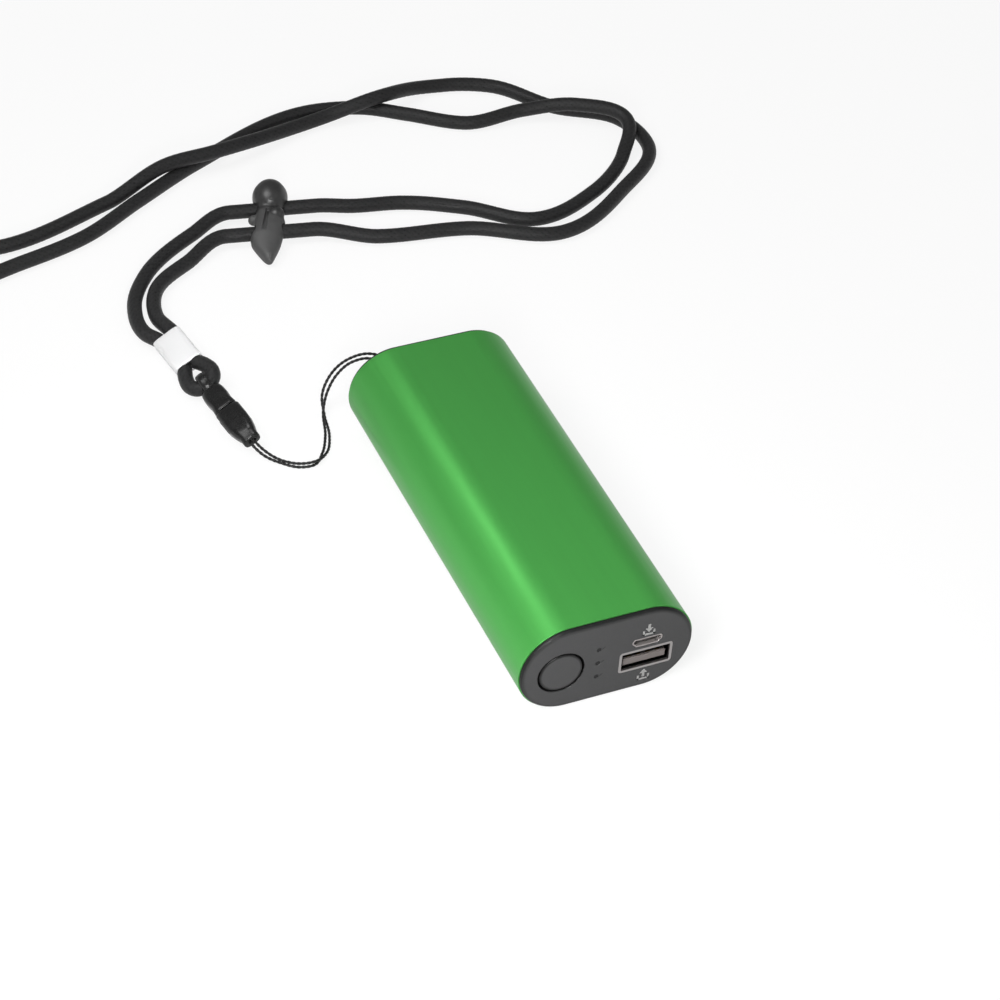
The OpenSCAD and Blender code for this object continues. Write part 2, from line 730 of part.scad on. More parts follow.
// Three light-emitting chips on the button board
module charge_lights() {
  color([0.95, 0.93, 0.85]) for (i = [-1 : 1])
    front(light_x, button_z + i * light_pitch, button_board_depth) linear_extrude(light_chip_t)
      square([light_chip_w, light_chip_w], center = true);
}

// Three light pipes from the chips to the cap's windows
module light_pipes() {
  back = button_board_depth - light_chip_t - chip_gap;
  color([0.85, 0.87, 0.9]) for (i = [-1 : 1]) {
    front(light_x, button_z + i * light_pitch, back) cylinder(h = back - cap_face, r = light_pipe_r);
    front(light_x, button_z + i * light_pitch, cap_face) cylinder(h = cap_face - fit, r = light_r);
  }
}

// Outline of the charging port, scaled to a width and a height
module micro_outline(w, h) {
  polygon([for (s = micro_shares) [s[0] * w / 2, s[1] * h / 2]]);
}

// Main circuit board: a tab under the charging port and a wide part behind the button board
module main_board() {
  tab_l = board_wide_front - board_front;
  color([0.07, 0.3, 0.14]) difference() {
    union() {
      translate([-board_half, -body_l / 2 + board_wide_front, board_z])
        cube([2 * board_half, board_l, board_t]);
      translate([tab_left, -body_l / 2 + board_front, board_z])
        cube([tab_right - tab_left, tab_l, board_t]);
    }
    for (side = [-1, 1])
      translate([side * ledge_x, -body_l / 2 + ledge_screw_depth, board_z - cut])
        cylinder(h = board_t + 2 * cut, r = board_screw_r + fit);
  }
}

// Two screws through the main board into the front cell holder
module main_board_screws() {
  color([0.7, 0.7, 0.72]) for (side = [-1, 1])
    translate([side * ledge_x, -body_l / 2 + ledge_screw_depth, board_top]) {
      cylinder(h = board_screw_head_t, r = board_screw_head_r);
      translate([0, 0, fit - board_t - ledge_t]) cylinder(h = board_t + ledge_t - fit, r = board_screw_r);
    }
}

// Sheet-metal shell of the output port, with its rolled lip and closed back
module usb_a_shell() {
  color([0.78, 0.78, 0.78]) difference() {
    union() {
      front(port_x, usb_a_z, lip_back + usb_a_depth) linear_extrude(usb_a_depth)
        square([usb_a_outer_w, usb_a_outer_h], center = true);
      front(port_x, usb_a_z, lip_back + lip_t) linear_extrude(lip_t)
        round_cornered(usb_a_lip_w, usb_a_lip_h, usb_a_corner);
    }
    front(port_x, usb_a_z, lip_back + usb_a_depth - shell_t) linear_extrude(usb_a_depth + cut)
      square([usb_a_w, usb_a_h], center = true);
  }
}

// Plastic tongue of the output port and the block that carries it
module usb_a_tongue() {
  back = lip_back + usb_a_depth - shell_t - fit;
  color([0.8, 0.76, 0.74]) {
    front(port_x, usb_a_z + tongue_rise, back) linear_extrude(back - tongue_front)
      square([tongue_w, tongue_t], center = true);
    front(port_x, usb_a_z, back) linear_extrude(back - tongue_back)
      square([usb_a_w - 2 * fit, usb_a_h - 2 * fit], center = true);
  }
}

// Four spring contacts on the output port's tongue
module usb_a_contacts() {
  top = usb_a_z + tongue_rise + tongue_t / 2;
  color([0.85, 0.7, 0.3]) for (i = [0 : contact_count - 1])
    front(port_x + (i - (contact_count - 1) / 2) * contact_pitch, top + contact_t / 2, tongue_back)
      linear_extrude(contact_l) square([contact_w, contact_t], center = true);
}

// Sheet-metal shell of the charging port, with its lip
module micro_usb_shell() {
  color([0.78, 0.78, 0.78]) difference() {
    union() {
      front(port_x, micro_z, micro_front + micro_depth) linear_extrude(micro_depth)
        micro_outline(micro_outer_w, micro_outer_h);
      front(port_x, micro_z, micro_front + lip_t) linear_extrude(lip_t)
        micro_outline(micro_outer_w + 2 * micro_lip, micro_outer_h + 2 * micro_lip);
    }
    front(port_x, micro_z, micro_front + micro_depth - shell_t) linear_extrude(micro_depth + cut)
      micro_outline(micro_w, micro_h);
  }
}

// Plastic tongue of the charging port and the block that carries it
module micro_usb_tongue() {
  back = micro_front + micro_depth - shell_t - fit;
  color([0.12, 0.12, 0.12]) {
    front(port_x, micro_z, back) linear_extrude(back - tongue_front)
      square([micro_tongue_w, micro_tongue_t], center = true);
    front(port_x, micro_z, back) linear_extrude(back - micro_tongue_back)
      micro_outline(micro_w - 2 * fit, micro_h - 2 * fit);
  }
}

// Five contacts under the charging port's tongue
module micro_usb_contacts() {
  top = micro_z - micro_tongue_t / 2;
  color([0.85, 0.7, 0.3]) for (i = [0 : micro_contact_count - 1])
    front(port_x + (i - (micro_contact_count - 1) / 2) * micro_contact_pitch,
          top - micro_contact_t / 2, micro_tongue_back)
      linear_extrude(micro_contact_l) square([micro_contact_w, micro_contact_t], center = true);
}

// Chip that raises the cells' voltage for the output port
module boost_chip() {
  color([0.1, 0.1, 0.1]) on_board(boost_chip_shares) chip(boost_chip_size);
}

// Chip that reads the button and the thermistor
module control_chip() {
  color([0.1, 0.1, 0.1]) on_board(control_chip_shares) chip(control_chip_size);
}

// Shielded power inductor
module inductor() {
  color([0.25, 0.25, 0.27]) on_board(inductor_shares) chip(inductor_size);
}

// Two round cans and three ceramic capacitors
module capacitors() {
  color([0.75, 0.75, 0.78]) for (i = [0, 1])
    on_board(can_shares, i * can_pitch) cylinder(h = can_h, r = can_r);
  color([0.6, 0.48, 0.32]) for (i = [0 : ceramic_count - 1])
    on_board(ceramic_shares, i * ceramic_pitch) chip(ceramic_size);
}

// Two transistors that switch the heater films
module heater_switches() {
  color([0.12, 0.12, 0.13]) for (i = [0, 1])
    on_board(heater_switch_shares, i * heater_switch_pitch) chip(heater_switch_size);
}

// One battery cell with its rounded can edge and its raised pole at the front
module cell(x) {
  translate([x, cell_front, mid_z]) rotate([-90, 0, 0]) {
    rotate_extrude() {
      translate([0, nub_h]) square([cell_r - can_edge, cell_l - nub_h]);
      translate([0, nub_h + can_edge]) square([cell_r, cell_l - nub_h - 2 * can_edge]);
      for (z = [nub_h + can_edge, cell_l - can_edge]) translate([cell_r - can_edge, z]) circle(can_edge);
    }
    cylinder(h = nub_h + fit, r = nub_r);
  }
}

module cell_left() {
  color([0.2, 0.4, 0.65]) cell(-cell_x);
}

module cell_right() {
  color([0.2, 0.4, 0.65]) cell(cell_x);
}

// Nickel strip across the cells' front poles
module nickel_strip_front() {
  color([0.8, 0.8, 0.78]) translate([-strip_w / 2, cell_front - strip_t, mid_z - strip_h / 2])
    cube([strip_w, strip_t, strip_h]);
}

// Nickel strip across the cells' rear poles, with a tab down to the return wire
module nickel_strip_rear() {
  color([0.8, 0.8, 0.78]) {
    translate([-strip_w / 2, cell_back, mid_z - strip_h / 2]) cube([strip_w, strip_t, strip_h]);
    translate([-strip_tab_w / 2, cell_back, strip_tab_end]) cube([strip_tab_w, strip_t, mid_z - strip_tab_end]);
  }
}

// End plate and collar round the cell ends; y is the plate's face against the strip
module cell_holder(y, way) {
  l = holder_t + collar_l + strip_t;
  difference() {
    translate([0, way > 0 ? y + collar_l + strip_t : y + holder_t, mid_z]) rotate([90, 0, 0])
      linear_extrude(l) round_sided(holder_outer_w, holder_outer_t);
    for (side = [-1, 1]) translate([side * cell_x, y, mid_z]) rotate([-90 * way, 0, 0])
      cylinder(h = l + cut, r = cell_r + 2 * fit);
    translate([-window_w / 2, y - l - cut, sleeve_wall + window_margin])
      cube([window_w, 2 * (l + cut), inner_t - 2 * window_margin]);
    for (z = [sleeve_wall, body_t - sleeve_wall - groove_d])
      translate([groove_x - groove_w / 2, y - l - cut, z]) cube([groove_w, 2 * (l + cut), groove_d]);
  }
}

// Front cell holder with two ledges that the main board is screwed to
module cell_holder_front() {
  face = cell_front - strip_t;
  ledge_y = -body_l / 2 + board_end - ledge_l;
  color([0.18, 0.18, 0.19]) difference() {
    union() {
      cell_holder(face, 1);
      for (side = [-1, 1]) translate([side * ledge_x - ledge_w / 2, ledge_y, board_z - ledge_t])
        cube([ledge_w, face - holder_t - ledge_y + fit, ledge_t]);
    }
    for (side = [-1, 1])
      translate([side * ledge_x, -body_l / 2 + ledge_screw_depth, board_z - ledge_t - cut])
        cylinder(h = ledge_t + 2 * cut, r = board_screw_r + fit);
  }
}

module cell_holder_rear() {
  color([0.18, 0.18, 0.19]) cell_holder(cell_back + strip_t, -1);
}

// Flat layer of the heater stack, at a height above the bottom or the same depth below the top
module stack_layer(z, thick, top) {
  translate([-stack_w / 2, stack_front, top ? body_t - z - thick : z])
    cube([stack_w, stack_back - stack_front, thick]);
}

module heater_film_top() {
  color([0.85, 0.55, 0.2]) stack_layer(film_z, film_t, true);
}

module heater_film_bottom() {
  color([0.85, 0.55, 0.2]) stack_layer(film_z, film_t, false);
}

module spreader_pad_top() {
  color([0.65, 0.68, 0.72]) stack_layer(pad_z, pad_t, true);
}

module spreader_pad_bottom() {
  color([0.65, 0.68, 0.72]) stack_layer(pad_z, pad_t, false);
}

module foam_pad_top() {
  color([0.3, 0.3, 0.32]) stack_layer(foam_z, foam_t, true);
}

module foam_pad_bottom() {
  color([0.3, 0.3, 0.32]) stack_layer(foam_z, foam_t, false);
}

// Temperature bead in the valley between the cells, against the foam
module thermistor() {
  color([0.15, 0.12, 0.1]) translate([0, bead_y, bead_z]) sphere(bead_r, $fn = 24);
}

// The bead's two leads, forward through the holder and down to the main board
module thermistor_wires() {
  turn_y = -body_l / 2 + wire_end_depth;
  color([0.85, 0.85, 0.85]) for (side = [-1, 1])
    wire([[side * 2 * thin_wire_r, bead_y - bead_r, bead_z], [side * 2 * thin_wire_r, turn_y, bead_z],
          [side * 2 * thin_wire_r, turn_y, board_top]], thin_wire_r);
}

// Supply wire from the front strip, and return wire from the rear strip's tab, to the main board
module battery_wires() {
  turn_y = -body_l / 2 + wire_end_depth;
  supply_z = mid_z - strip_h / 2 + 2 * battery_wire_r;
  color([0.75, 0.1, 0.08])
    wire([[0, cell_front - strip_t, supply_z], [0, turn_y + 2 * thin_wire_r, supply_z],
          [0, turn_y + 2 * thin_wire_r, board_z]], battery_wire_r);
  color([0.12, 0.12, 0.12])
    wire([[0, cell_back, lower_valley_z], [0, turn_y - 3 * battery_wire_r, lower_valley_z],
          [0, turn_y - 3 * battery_wire_r, board_z]], battery_wire_r);
}

// Two wires from each heater film, along the holder's grooves to the main board
module heater_wires() {
  turn_y = -body_l / 2 + wire_end_depth;
  color([0.8, 0.8, 0.78]) for (side = [-1, 1], top = [false, true]) {
    x = groove_x + side * heater_wire_pitch / 2;
    z = top ? body_t - film_z - film_t / 2 : film_z + film_t / 2;
    wire([[x, stack_front, z], [x, turn_y, z], [x, turn_y, top ? board_top : board_z]], wire_r);
  }
}

// Steel pin across the rear cap's pocket
module strap_pin() {
  color([0.7, 0.7, 0.72]) translate([strap_x, body_l / 2 - pin_depth, strap_z])
    cylinder(h = pocket_h + 2 * pin_bite, r = pin_r, center = true);
}

// Doubled thin string from the socket round the pin
module strap_string() {
  color([0.12, 0.12, 0.12]) cord(string_route, string_d);
}

// Female half of the buckle: side slots, a narrower tail, and the block that holds the string's ends
module buckle_socket() {
  cavity_w = prong_w + 2 * buckle_gap;
  color([0.07, 0.07, 0.07]) on_strap() difference() {
    union() {
      strap_bar(socket_x, socket_l - tail_l, socket_w, socket_t, fitting_edge);
      strap_bar(socket_end - tail_l - fitting_edge, tail_l + fitting_edge, socket_w - 2 * tail_step, socket_t,
                fitting_edge);
      strap_bar(socket_end - fitting_edge, string_block_l + fitting_edge, block_w, block_t, fitting_edge);
    }
    translate([socket_x - cut, -cavity_w / 2, -prong_t / 2 - buckle_gap])
      cube([prong_l + cut, cavity_w, prong_t + 2 * buckle_gap]);
    translate([socket_x - cut, -socket_w / 2 - cut, -bump_t / 2 - buckle_gap])
      cube([slot_end - socket_x + cut, socket_w + 2 * cut, bump_t + 2 * buckle_gap]);
    for (side = [-1, 1])
      translate([socket_end + string_block_l - string_hole_l, side * string_hole_half, 0]) rotate([0, 90, 0])
        cylinder(h = string_hole_l + cut, r = string_hole_r);
  }
}

// Male half of the buckle: the eye, the head, the prong and its two catches
module buckle_plug() {
  bump_x = prong_x + prong_l - bump_back - bump_l;
  color([0.07, 0.07, 0.07]) on_strap() difference() {
    union() {
      translate([eye_x, 0, 0]) rotate([90, 0, 0]) cylinder(h = eye_t, r = eye_r + eye_wall, center = true);
      strap_bar(head_x, shoulder_l + fitting_edge, neck_w, neck_t, fitting_edge);
      strap_bar(head_x + shoulder_l, prong_x - head_x - shoulder_l, head_w, head_t, fitting_edge);
      translate([prong_x - fit, -prong_w / 2, -prong_t / 2]) cube([prong_l + fit, prong_w, prong_t]);
      translate([bump_x, -socket_w / 2 + buckle_gap, -bump_t / 2])
        cube([bump_l, socket_w - 2 * buckle_gap, bump_t]);
    }
    translate([eye_x, 0, 0]) rotate([90, 0, 0]) cylinder(h = neck_w + 2 * cut, r = eye_r, center = true);
  }
}

// Short loop of the neck cord's own cord, through the plug's eye. The route is lifted while it is
// swept, because a cord's curve stays above the floor.
module end_loop() {
  lift = cord_d;
  leg = [
    [crimp_l - loop_inside, crimped_half],
    for (s = loop_shares) [crimp_l + s[0] * eye_reach, s[1] * bend_r]
  ];
  route = concat(
    [for (p = leg) [p[0], -p[1], lift]],
    [[eye_x, 0, lift]],
    [for (i = [len(leg) - 1 : -1 : 0]) [leg[i][0], leg[i][1], lift]]
  );
  color([0.13, 0.13, 0.13]) on_strap() translate([0, 0, -lift]) cord(route, cord_d);
}

// Flattened sheet-metal sleeve that clamps both cords
module crimp_sleeve() {
  color([0.85, 0.86, 0.87]) on_strap() difference() {
    strap_bar(0, crimp_l, crimp_w, crimp_t, crimp_corner);
    strap_bar(-cut, crimp_l + 2 * cut, crimp_w - 2 * crimp_wall, crimp_t - 2 * crimp_wall,
              crimp_corner - crimp_wall);
  }
}

// Braided cord that hangs round the neck
module neck_cord() {
  color([0.13, 0.13, 0.13]) cord(neck_route, cord_d, neck_straights);
}

// Straight hole for one strand through the slider
module strand_hole(at) {
  translate([at[0], at[1], strand_z]) rotate([0, 0, strand_turn]) rotate([0, 90, 0])
    cylinder(h = 4 * bulb_r, r = cord_d / 2 + slider_gap, center = true);
}

// Slider that sets the length of the neck loop: a round head and a flat leaf
module cord_slider() {
  color([0.09, 0.09, 0.09]) difference() {
    translate(slider_origin) rotate([0, 0, slider_turn]) {
      translate([0, 0, bulb_r]) sphere(bulb_r);
      translate([0, 0, bulb_h - crown_r]) sphere(crown_r);
      hull() {
        translate([shoulder_x, 0, shoulder_z]) sphere(shoulder_r, $fn = 28);
        translate([leaf_x, 0, leaf_z]) scale([1, leaf_r / leaf_z, 1]) sphere(leaf_z, $fn = 28);
        translate([slider_l, 0, tip_r]) sphere(tip_r, $fn = 28);
      }
    }
    strand_hole(strand_a);
    strand_hole(strand_b);
  }
}

sleeve();
front_cap();
rear_cap();
power_button();
switch_plunger();
switch_case();
button_board();
button_board_screws();
charge_lights();
light_pipes();
main_board();
main_board_screws();
usb_a_shell();
usb_a_tongue();
usb_a_contacts();
micro_usb_shell();
micro_usb_tongue();
micro_usb_contacts();
boost_chip();
control_chip();
inductor();
capacitors();
heater_switches();
cell_left();
cell_right();
nickel_strip_front();
nickel_strip_rear();
cell_holder_front();
cell_holder_rear();
heater_film_top();
heater_film_bottom();
spreader_pad_top();
spreader_pad_bottom();
foam_pad_top();
foam_pad_bottom();
thermistor();
thermistor_wires();
battery_wires();
heater_wires();
strap_pin();
strap_string();
buckle_socket();
buckle_plug();
end_loop();
crimp_sleeve();
neck_cord();
cord_slider();
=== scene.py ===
# %% [markdown]
# # A rechargeable hand warmer and its neck lanyard
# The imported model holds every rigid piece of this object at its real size, in metres, with +Y
# running along the warmer away from its button and +Z up. This lesson dresses that frame: it
# braids the cords, rounds the small moulded fittings, prints the marks on the cap and gives each
# piece a material whose detail is worked out by nodes. Nothing in the frame is moved or resized.

import math

import bmesh
import bpy
import numpy as np
from mathutils import Matrix, Vector


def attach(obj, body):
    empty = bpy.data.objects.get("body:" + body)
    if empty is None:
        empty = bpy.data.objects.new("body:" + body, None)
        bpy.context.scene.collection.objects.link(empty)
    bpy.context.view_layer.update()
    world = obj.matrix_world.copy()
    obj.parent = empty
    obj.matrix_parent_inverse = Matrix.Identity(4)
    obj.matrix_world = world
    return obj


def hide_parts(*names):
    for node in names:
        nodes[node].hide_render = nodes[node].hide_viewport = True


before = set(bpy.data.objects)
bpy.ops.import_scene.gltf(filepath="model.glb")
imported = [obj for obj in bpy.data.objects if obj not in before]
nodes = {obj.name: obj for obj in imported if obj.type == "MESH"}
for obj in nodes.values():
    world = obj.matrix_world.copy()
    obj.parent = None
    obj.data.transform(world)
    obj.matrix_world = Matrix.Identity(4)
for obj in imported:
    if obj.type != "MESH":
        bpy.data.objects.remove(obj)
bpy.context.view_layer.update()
MM = 0.001
print(len(nodes), "pieces in the frame")

# %% [markdown]
# ## The camera
# A product photograph of a small thing is taken from some way off with a long lens, so that its
# far end doesn't shrink. The camera here was found by laying the warmer's straight edges over
# the photograph's: it stands 0.79 m from a point beside the warmer, 42 degrees above the
# table, and leans a few degrees to one side. Working out its three axes from those angles keeps
# them readable, where a matrix would hide them.

# %% Camera
CAMERA_AZIMUTH = math.radians(-26.417)
CAMERA_HEIGHT = math.radians(41.565)
CAMERA_LEAN = math.radians(4.655)
CAMERA_DISTANCE = 792.0 * MM
CAMERA_TARGET = Vector((4.56, 17.14, 0)) * MM
LENS = 112.58
SENSOR = 36
NEAREST_SEEN = 10 * MM


def placed(name, data):
    """A new object in the scene that shows this data."""
    thing = bpy.data.objects.new(name, data)
    bpy.context.scene.collection.objects.link(thing)
    return thing


def aim_camera():
    back = Vector((
        math.sin(CAMERA_AZIMUTH) * math.cos(CAMERA_HEIGHT),
        -math.cos(CAMERA_AZIMUTH) * math.cos(CAMERA_HEIGHT),
        math.sin(CAMERA_HEIGHT),
    ))
    level = Vector((0, 0, 1)).cross(back).normalized()
    upright = back.cross(level)
    right = level * math.cos(CAMERA_LEAN) + upright * math.sin(CAMERA_LEAN)
    up = upright * math.cos(CAMERA_LEAN) - level * math.sin(CAMERA_LEAN)
    data = bpy.data.cameras.new("camera")
    data.lens = LENS
    data.sensor_width = SENSOR
    data.clip_start = NEAREST_SEEN
    camera = placed("camera", data)
    turned = Matrix((right, up, back)).transposed().to_4x4()
    camera.matrix_world = Matrix.Translation(CAMERA_TARGET + back * CAMERA_DISTANCE) @ turned
    bpy.context.scene.camera = camera
    return camera


camera = aim_camera()
print("camera at", [round(x, 3) for x in camera.location])

# %% [markdown]
# ## The lanyard's fittings share one axis
# The crimp, the loop, the buckle and its socket lie on one straight line on the table, tilted
# on their left edge. Placing that line once, as a matrix, lets each fitting be drawn in its own
# plain directions: x along the strap from the crimp to the string, y across and z through it.

# %% The fittings' own directions
STRAP_ORIGIN = Vector((-55.1, 101.5, 3.9)) * MM
STRAP_TURN = math.radians(-81.5)
STRAP_ROLL = math.radians(25)
strap_place = (
    Matrix.Translation(STRAP_ORIGIN) @ Matrix.Rotation(STRAP_TURN, 4, "Z")
    @ Matrix.Rotation(STRAP_ROLL, 4, "X")
)
LOOP_INSIDE = 5
LOOP_HALF = 2.05
STRAND_PLACES = [(-8.9, 147), (-13.45, 137)]
STRAND_TURN = math.radians(-11.03)
STRAND_Z = 3.4
STRAND_REACH = 12
print("strap from", tuple(round(x, 4) for x in STRAP_ORIGIN))

# %% [markdown]
# ## The cords' routes
# A cord is limp, so its shape is where somebody let it fall. Each route is a short list of
# places along it. Where a fitting holds the cord, the places are worked out from that fitting,
# and the far bend is a half circle.

# %% Routes of both cords, in millimetres
FROM_CRIMP = [(-59.5, 106.8, 2.6), (-58.5, 119, 2.1), (-51.3, 131.2, 2.1), (-33.5, 144.2, 2.5)]
WAY_OUT = [
    (13, 142.2, 2.7), (27.5, 139.8, 2.1), (43, 132.3, 2.1), (60, 120.8, 2.1), (80, 126.8, 2.1),
    (97, 141.5, 2.4), (102.7, 152.3, 5.8), (91.4, 163.1, 6.3), (77.2, 169, 3.6), (60.2, 170, 2.1),
    (45, 179.6, 2.1), (34, 186.6, 2.1), (22, 189.6, 2.1), (-21, 176.1, 2.1), (-42, 164.4, 2.1),
    (-62, 152.8, 2.1), (-80, 147.6, 2.1),
]
BEND_MIDDLE = (-113, 152.2, 2.1)
BEND_RADIUS = 9
BEND_STEPS = 4
WAY_BACK = [
    (-84.7, 156, 2.1), (-50, 166.4, 2.1), (-31, 173.2, 5.7), (-17, 174.4, 6), (20, 184.8, 2.8),
    (38.4, 185, 6.3), (54.8, 190.5, 2.5), (74.2, 185.2, 2.1), (87.2, 169.8, 2.1), (103.1, 158, 2.1),
    (105.7, 143.4, 2.1), (89, 125.4, 2.1), (64.5, 112.7, 2.1), (40.4, 122.8, 2.1),
    (14.1, 127.8, 2.1),
]
TO_CRIMP = [(-38.3, 133.3, 2.1), (-50.8, 123.9, 2.1), (-54.4, 113, 2.7)]
STRING_ROUTE = [
    (-48.9, 56.3, 3.7), (-48.5, 53.9, 3.4), (-46.3, 51.2, 1.5), (-42.9, 48.3, 0.5),
    (-38.7, 45.1, 0.5), (-35.1, 44.8, 0.5), (-31.6, 48.4, 0.5), (-28.5, 54.4, 0.5),
    (-25.6, 63.4, 2), (-23.7, 66.3, 3.9), (-20.3, 67.8, 8.5), (-16.2, 66.8, 12.5),
    (-12.1, 65.7, 13.2), (-9.9, 62, 13), (-9.6, 57, 13), (-9.6, 52.9, 13), (-9.1, 51.8, 13),
    (-8, 51.3, 13), (-6.9, 51.8, 13), (-6.4, 52.9, 13), (-6.4, 57, 13), (-7.5, 63.4, 13.2),
    (-12.3, 67.1, 13.8), (-17.2, 68.2, 12.4), (-21.9, 68.8, 7.7), (-24.6, 67.1, 3.4),
    (-25.8, 62.1, 0.6), (-27.4, 54.3, 0.5), (-30.6, 48, 0.6), (-35.1, 44.9, 1.5),
    (-39, 46.7, 0.5), (-43.6, 50.3, 0.8), (-45.9, 52.4, 2.2), (-47.5, 54.2, 3.8),
    (-47.9, 56.5, 4.1),
]


def in_crimp(x, side):
    """Place of a strand in the crimp, at a distance from its mouth; side is -1 or 1."""
    return tuple((strap_place @ (Vector((x, side * LOOP_HALF, 0)) * MM)) / MM)


def in_slider(at, way):
    """The two places between which a strand runs straight through the slider."""
    x, y = STRAND_REACH * math.cos(STRAND_TURN), STRAND_REACH * math.sin(STRAND_TURN)
    return [(at[0] + u * x, at[1] + u * y, STRAND_Z) for u in (-way, way)]


def far_bend():
    """The half circle in which the cord turns back."""
    x, y, z = BEND_MIDDLE
    turns = [math.radians(-90 - 180 * i / BEND_STEPS) for i in range(BEND_STEPS + 1)]
    return [(x + BEND_RADIUS * math.cos(a), y + BEND_RADIUS * math.sin(a), z) for a in turns]


first_half = [in_crimp(LOOP_INSIDE, -1), in_crimp(0, -1)] + FROM_CRIMP
middle = WAY_OUT + far_bend() + WAY_BACK
neck_route = (
    first_half + in_slider(STRAND_PLACES[0], 1) + middle + in_slider(STRAND_PLACES[1], -1)
    + TO_CRIMP + [in_crimp(0, 1), in_crimp(LOOP_INSIDE, 1)]
)
neck_straights = [0, len(first_half), len(first_half) + 2 + len(middle), len(neck_route) - 2]
print(len(neck_route), "places for the neck cord,", len(STRING_ROUTE), "for the string")

# %% [markdown]
# ## A smooth curve through the places
# The curve's heading at a place leans towards its nearer neighbour, as an arc's does, and inside
# a fitting the cord runs straight. Sampling the curve at even steps makes the braid even too.

# %% Smooth curves
CORD_RADIUS = 2.0 * MM
BRAID_PROUD = 0.08 * MM
STRING_RADIUS = 0.4 * MM
SPAN_SAMPLES = 80


def lead(points, i):
    """Heading of a curve at one of its points, leaning towards the nearer neighbour."""
    if i == 0:
        return (points[1] - points[0]).normalized()
    if i == len(points) - 1:
        return (points[-1] - points[-2]).normalized()
    before = points[i] - points[i - 1]
    after = points[i + 1] - points[i]
    return (before.normalized() * after.length + after.normalized() * before.length).normalized()


def heading(points, i, straights):
    """The same, but along the span itself where a straight span starts or ends."""
    for s in straights:
        if i in (s, s + 1):
            return (points[s + 1] - points[s]).normalized()
    return lead(points, i)


def cubic(a, b, u, v, t):
    """Point at share t of the span from a to b, which it leaves along u and reaches along v."""
    reach = (b - a).length
    return (
        a * (2 * t**3 - 3 * t**2 + 1) + u * reach * (t**3 - 2 * t**2 + t)
        + b * (3 * t**2 - 2 * t**3) + v * reach * (t**3 - t**2)
    )


def through(points, straights=()):
    """Close samples of the smooth curve through these points."""
    line = []
    for i in range(len(points) - 1):
        u, v = heading(points, i, straights), heading(points, i + 1, straights)
        for k in range(SPAN_SAMPLES):
            line.append(cubic(points[i], points[i + 1], u, v, k / SPAN_SAMPLES))
    return line + [points[-1]]


def smooth_curve(route, radius, straights=()):
    """A route's curve, kept at least its own radius above the table."""
    line = np.array([tuple(p) for p in through([Vector(p) * MM for p in route], straights)])
    line[:, 2] = np.maximum(line[:, 2], radius)
    return line


def even_steps(line, step):
    """Places at even steps along a line, and how far along it each is."""
    along = np.concatenate([[0], np.cumsum(np.linalg.norm(np.diff(line, axis=0), axis=1))])
    count = max(2, int(round(along[-1] / step)) + 1)
    at = np.linspace(0, along[-1], count)
    return np.stack([np.interp(at, along, line[:, k]) for k in range(3)], axis=1), at


neck_curve = smooth_curve(neck_route, CORD_RADIUS + BRAID_PROUD, neck_straights)
string_curve = smooth_curve(STRING_ROUTE, STRING_RADIUS)
print("neck cord", round(even_steps(neck_curve, MM)[1][-1], 4), "m")
print("strap string", round(even_steps(string_curve, MM)[1][-1], 4), "m")

# %% [markdown]
# ## Braid and twist as real relief
# The neck cord is a round braid: eight strands wind one way, eight the other, each passing over
# one and under the next. Its relief is deep enough to catch light, so it is built into the
# mesh and not painted: the radius of each point follows the height of the strand that lies on
# top there. The strap string is two thin yarns twisted together, which only needs a section of
# two lobes that turns as it goes. The section is carried along without spinning, by turning it
# just as much as the curve itself turns.

# %% Sweep a section along a line
BRAID_STRANDS = 8
BRAID_PITCH = 1.9 * MM
BRAID_RELIEF = 0.26 * MM
BRAID_SIDES = 40
BRAID_STEP = 0.42 * MM
STRAND_HIDES = 0.22
TWIST_PITCH = 2.6 * MM
TWIST_RELIEF = 0.3
TWIST_SIDES = 14
TWIST_STEP = 0.2 * MM


def carried_frames(line):
    """Two directions across the line at each place, which don't spin as they go along it."""
    tangents = np.gradient(line, axis=0)
    tangents /= np.linalg.norm(tangents, axis=1)[:, None]
    side = np.cross(tangents[0], (0, 0, 1.0))
    side /= np.linalg.norm(side)
    sides = [side]
    for t in tangents[1:]:
        side = sides[-1] - t * np.dot(sides[-1], t)
        sides.append(side / np.linalg.norm(side))
    sides = np.array(sides)
    return sides, np.cross(tangents, sides)


def braid_height(angle, along):
    """Height of the braid's upper strand, from 0 in a gap to 1 on a crest."""
    turns = BRAID_STRANDS * angle / (2 * math.pi)
    p = turns + along / BRAID_PITCH
    q = turns - along / BRAID_PITCH
    over = STRAND_HIDES * np.cos(math.pi * p) * np.cos(math.pi * q)
    one_way = np.sqrt(np.clip(1 - (2 * (p % 1) - 1) ** 2, 0, 1)) * (1 - STRAND_HIDES + over)
    other_way = np.sqrt(np.clip(1 - (2 * (q % 1) - 1) ** 2, 0, 1)) * (1 - STRAND_HIDES - over)
    return np.maximum(one_way, other_way)


def twist_height(angle, along):
    """Height of the two twisted yarns, whose crests turn once in each pitch."""
    return np.abs(np.cos(angle - 2 * math.pi * along / TWIST_PITCH))


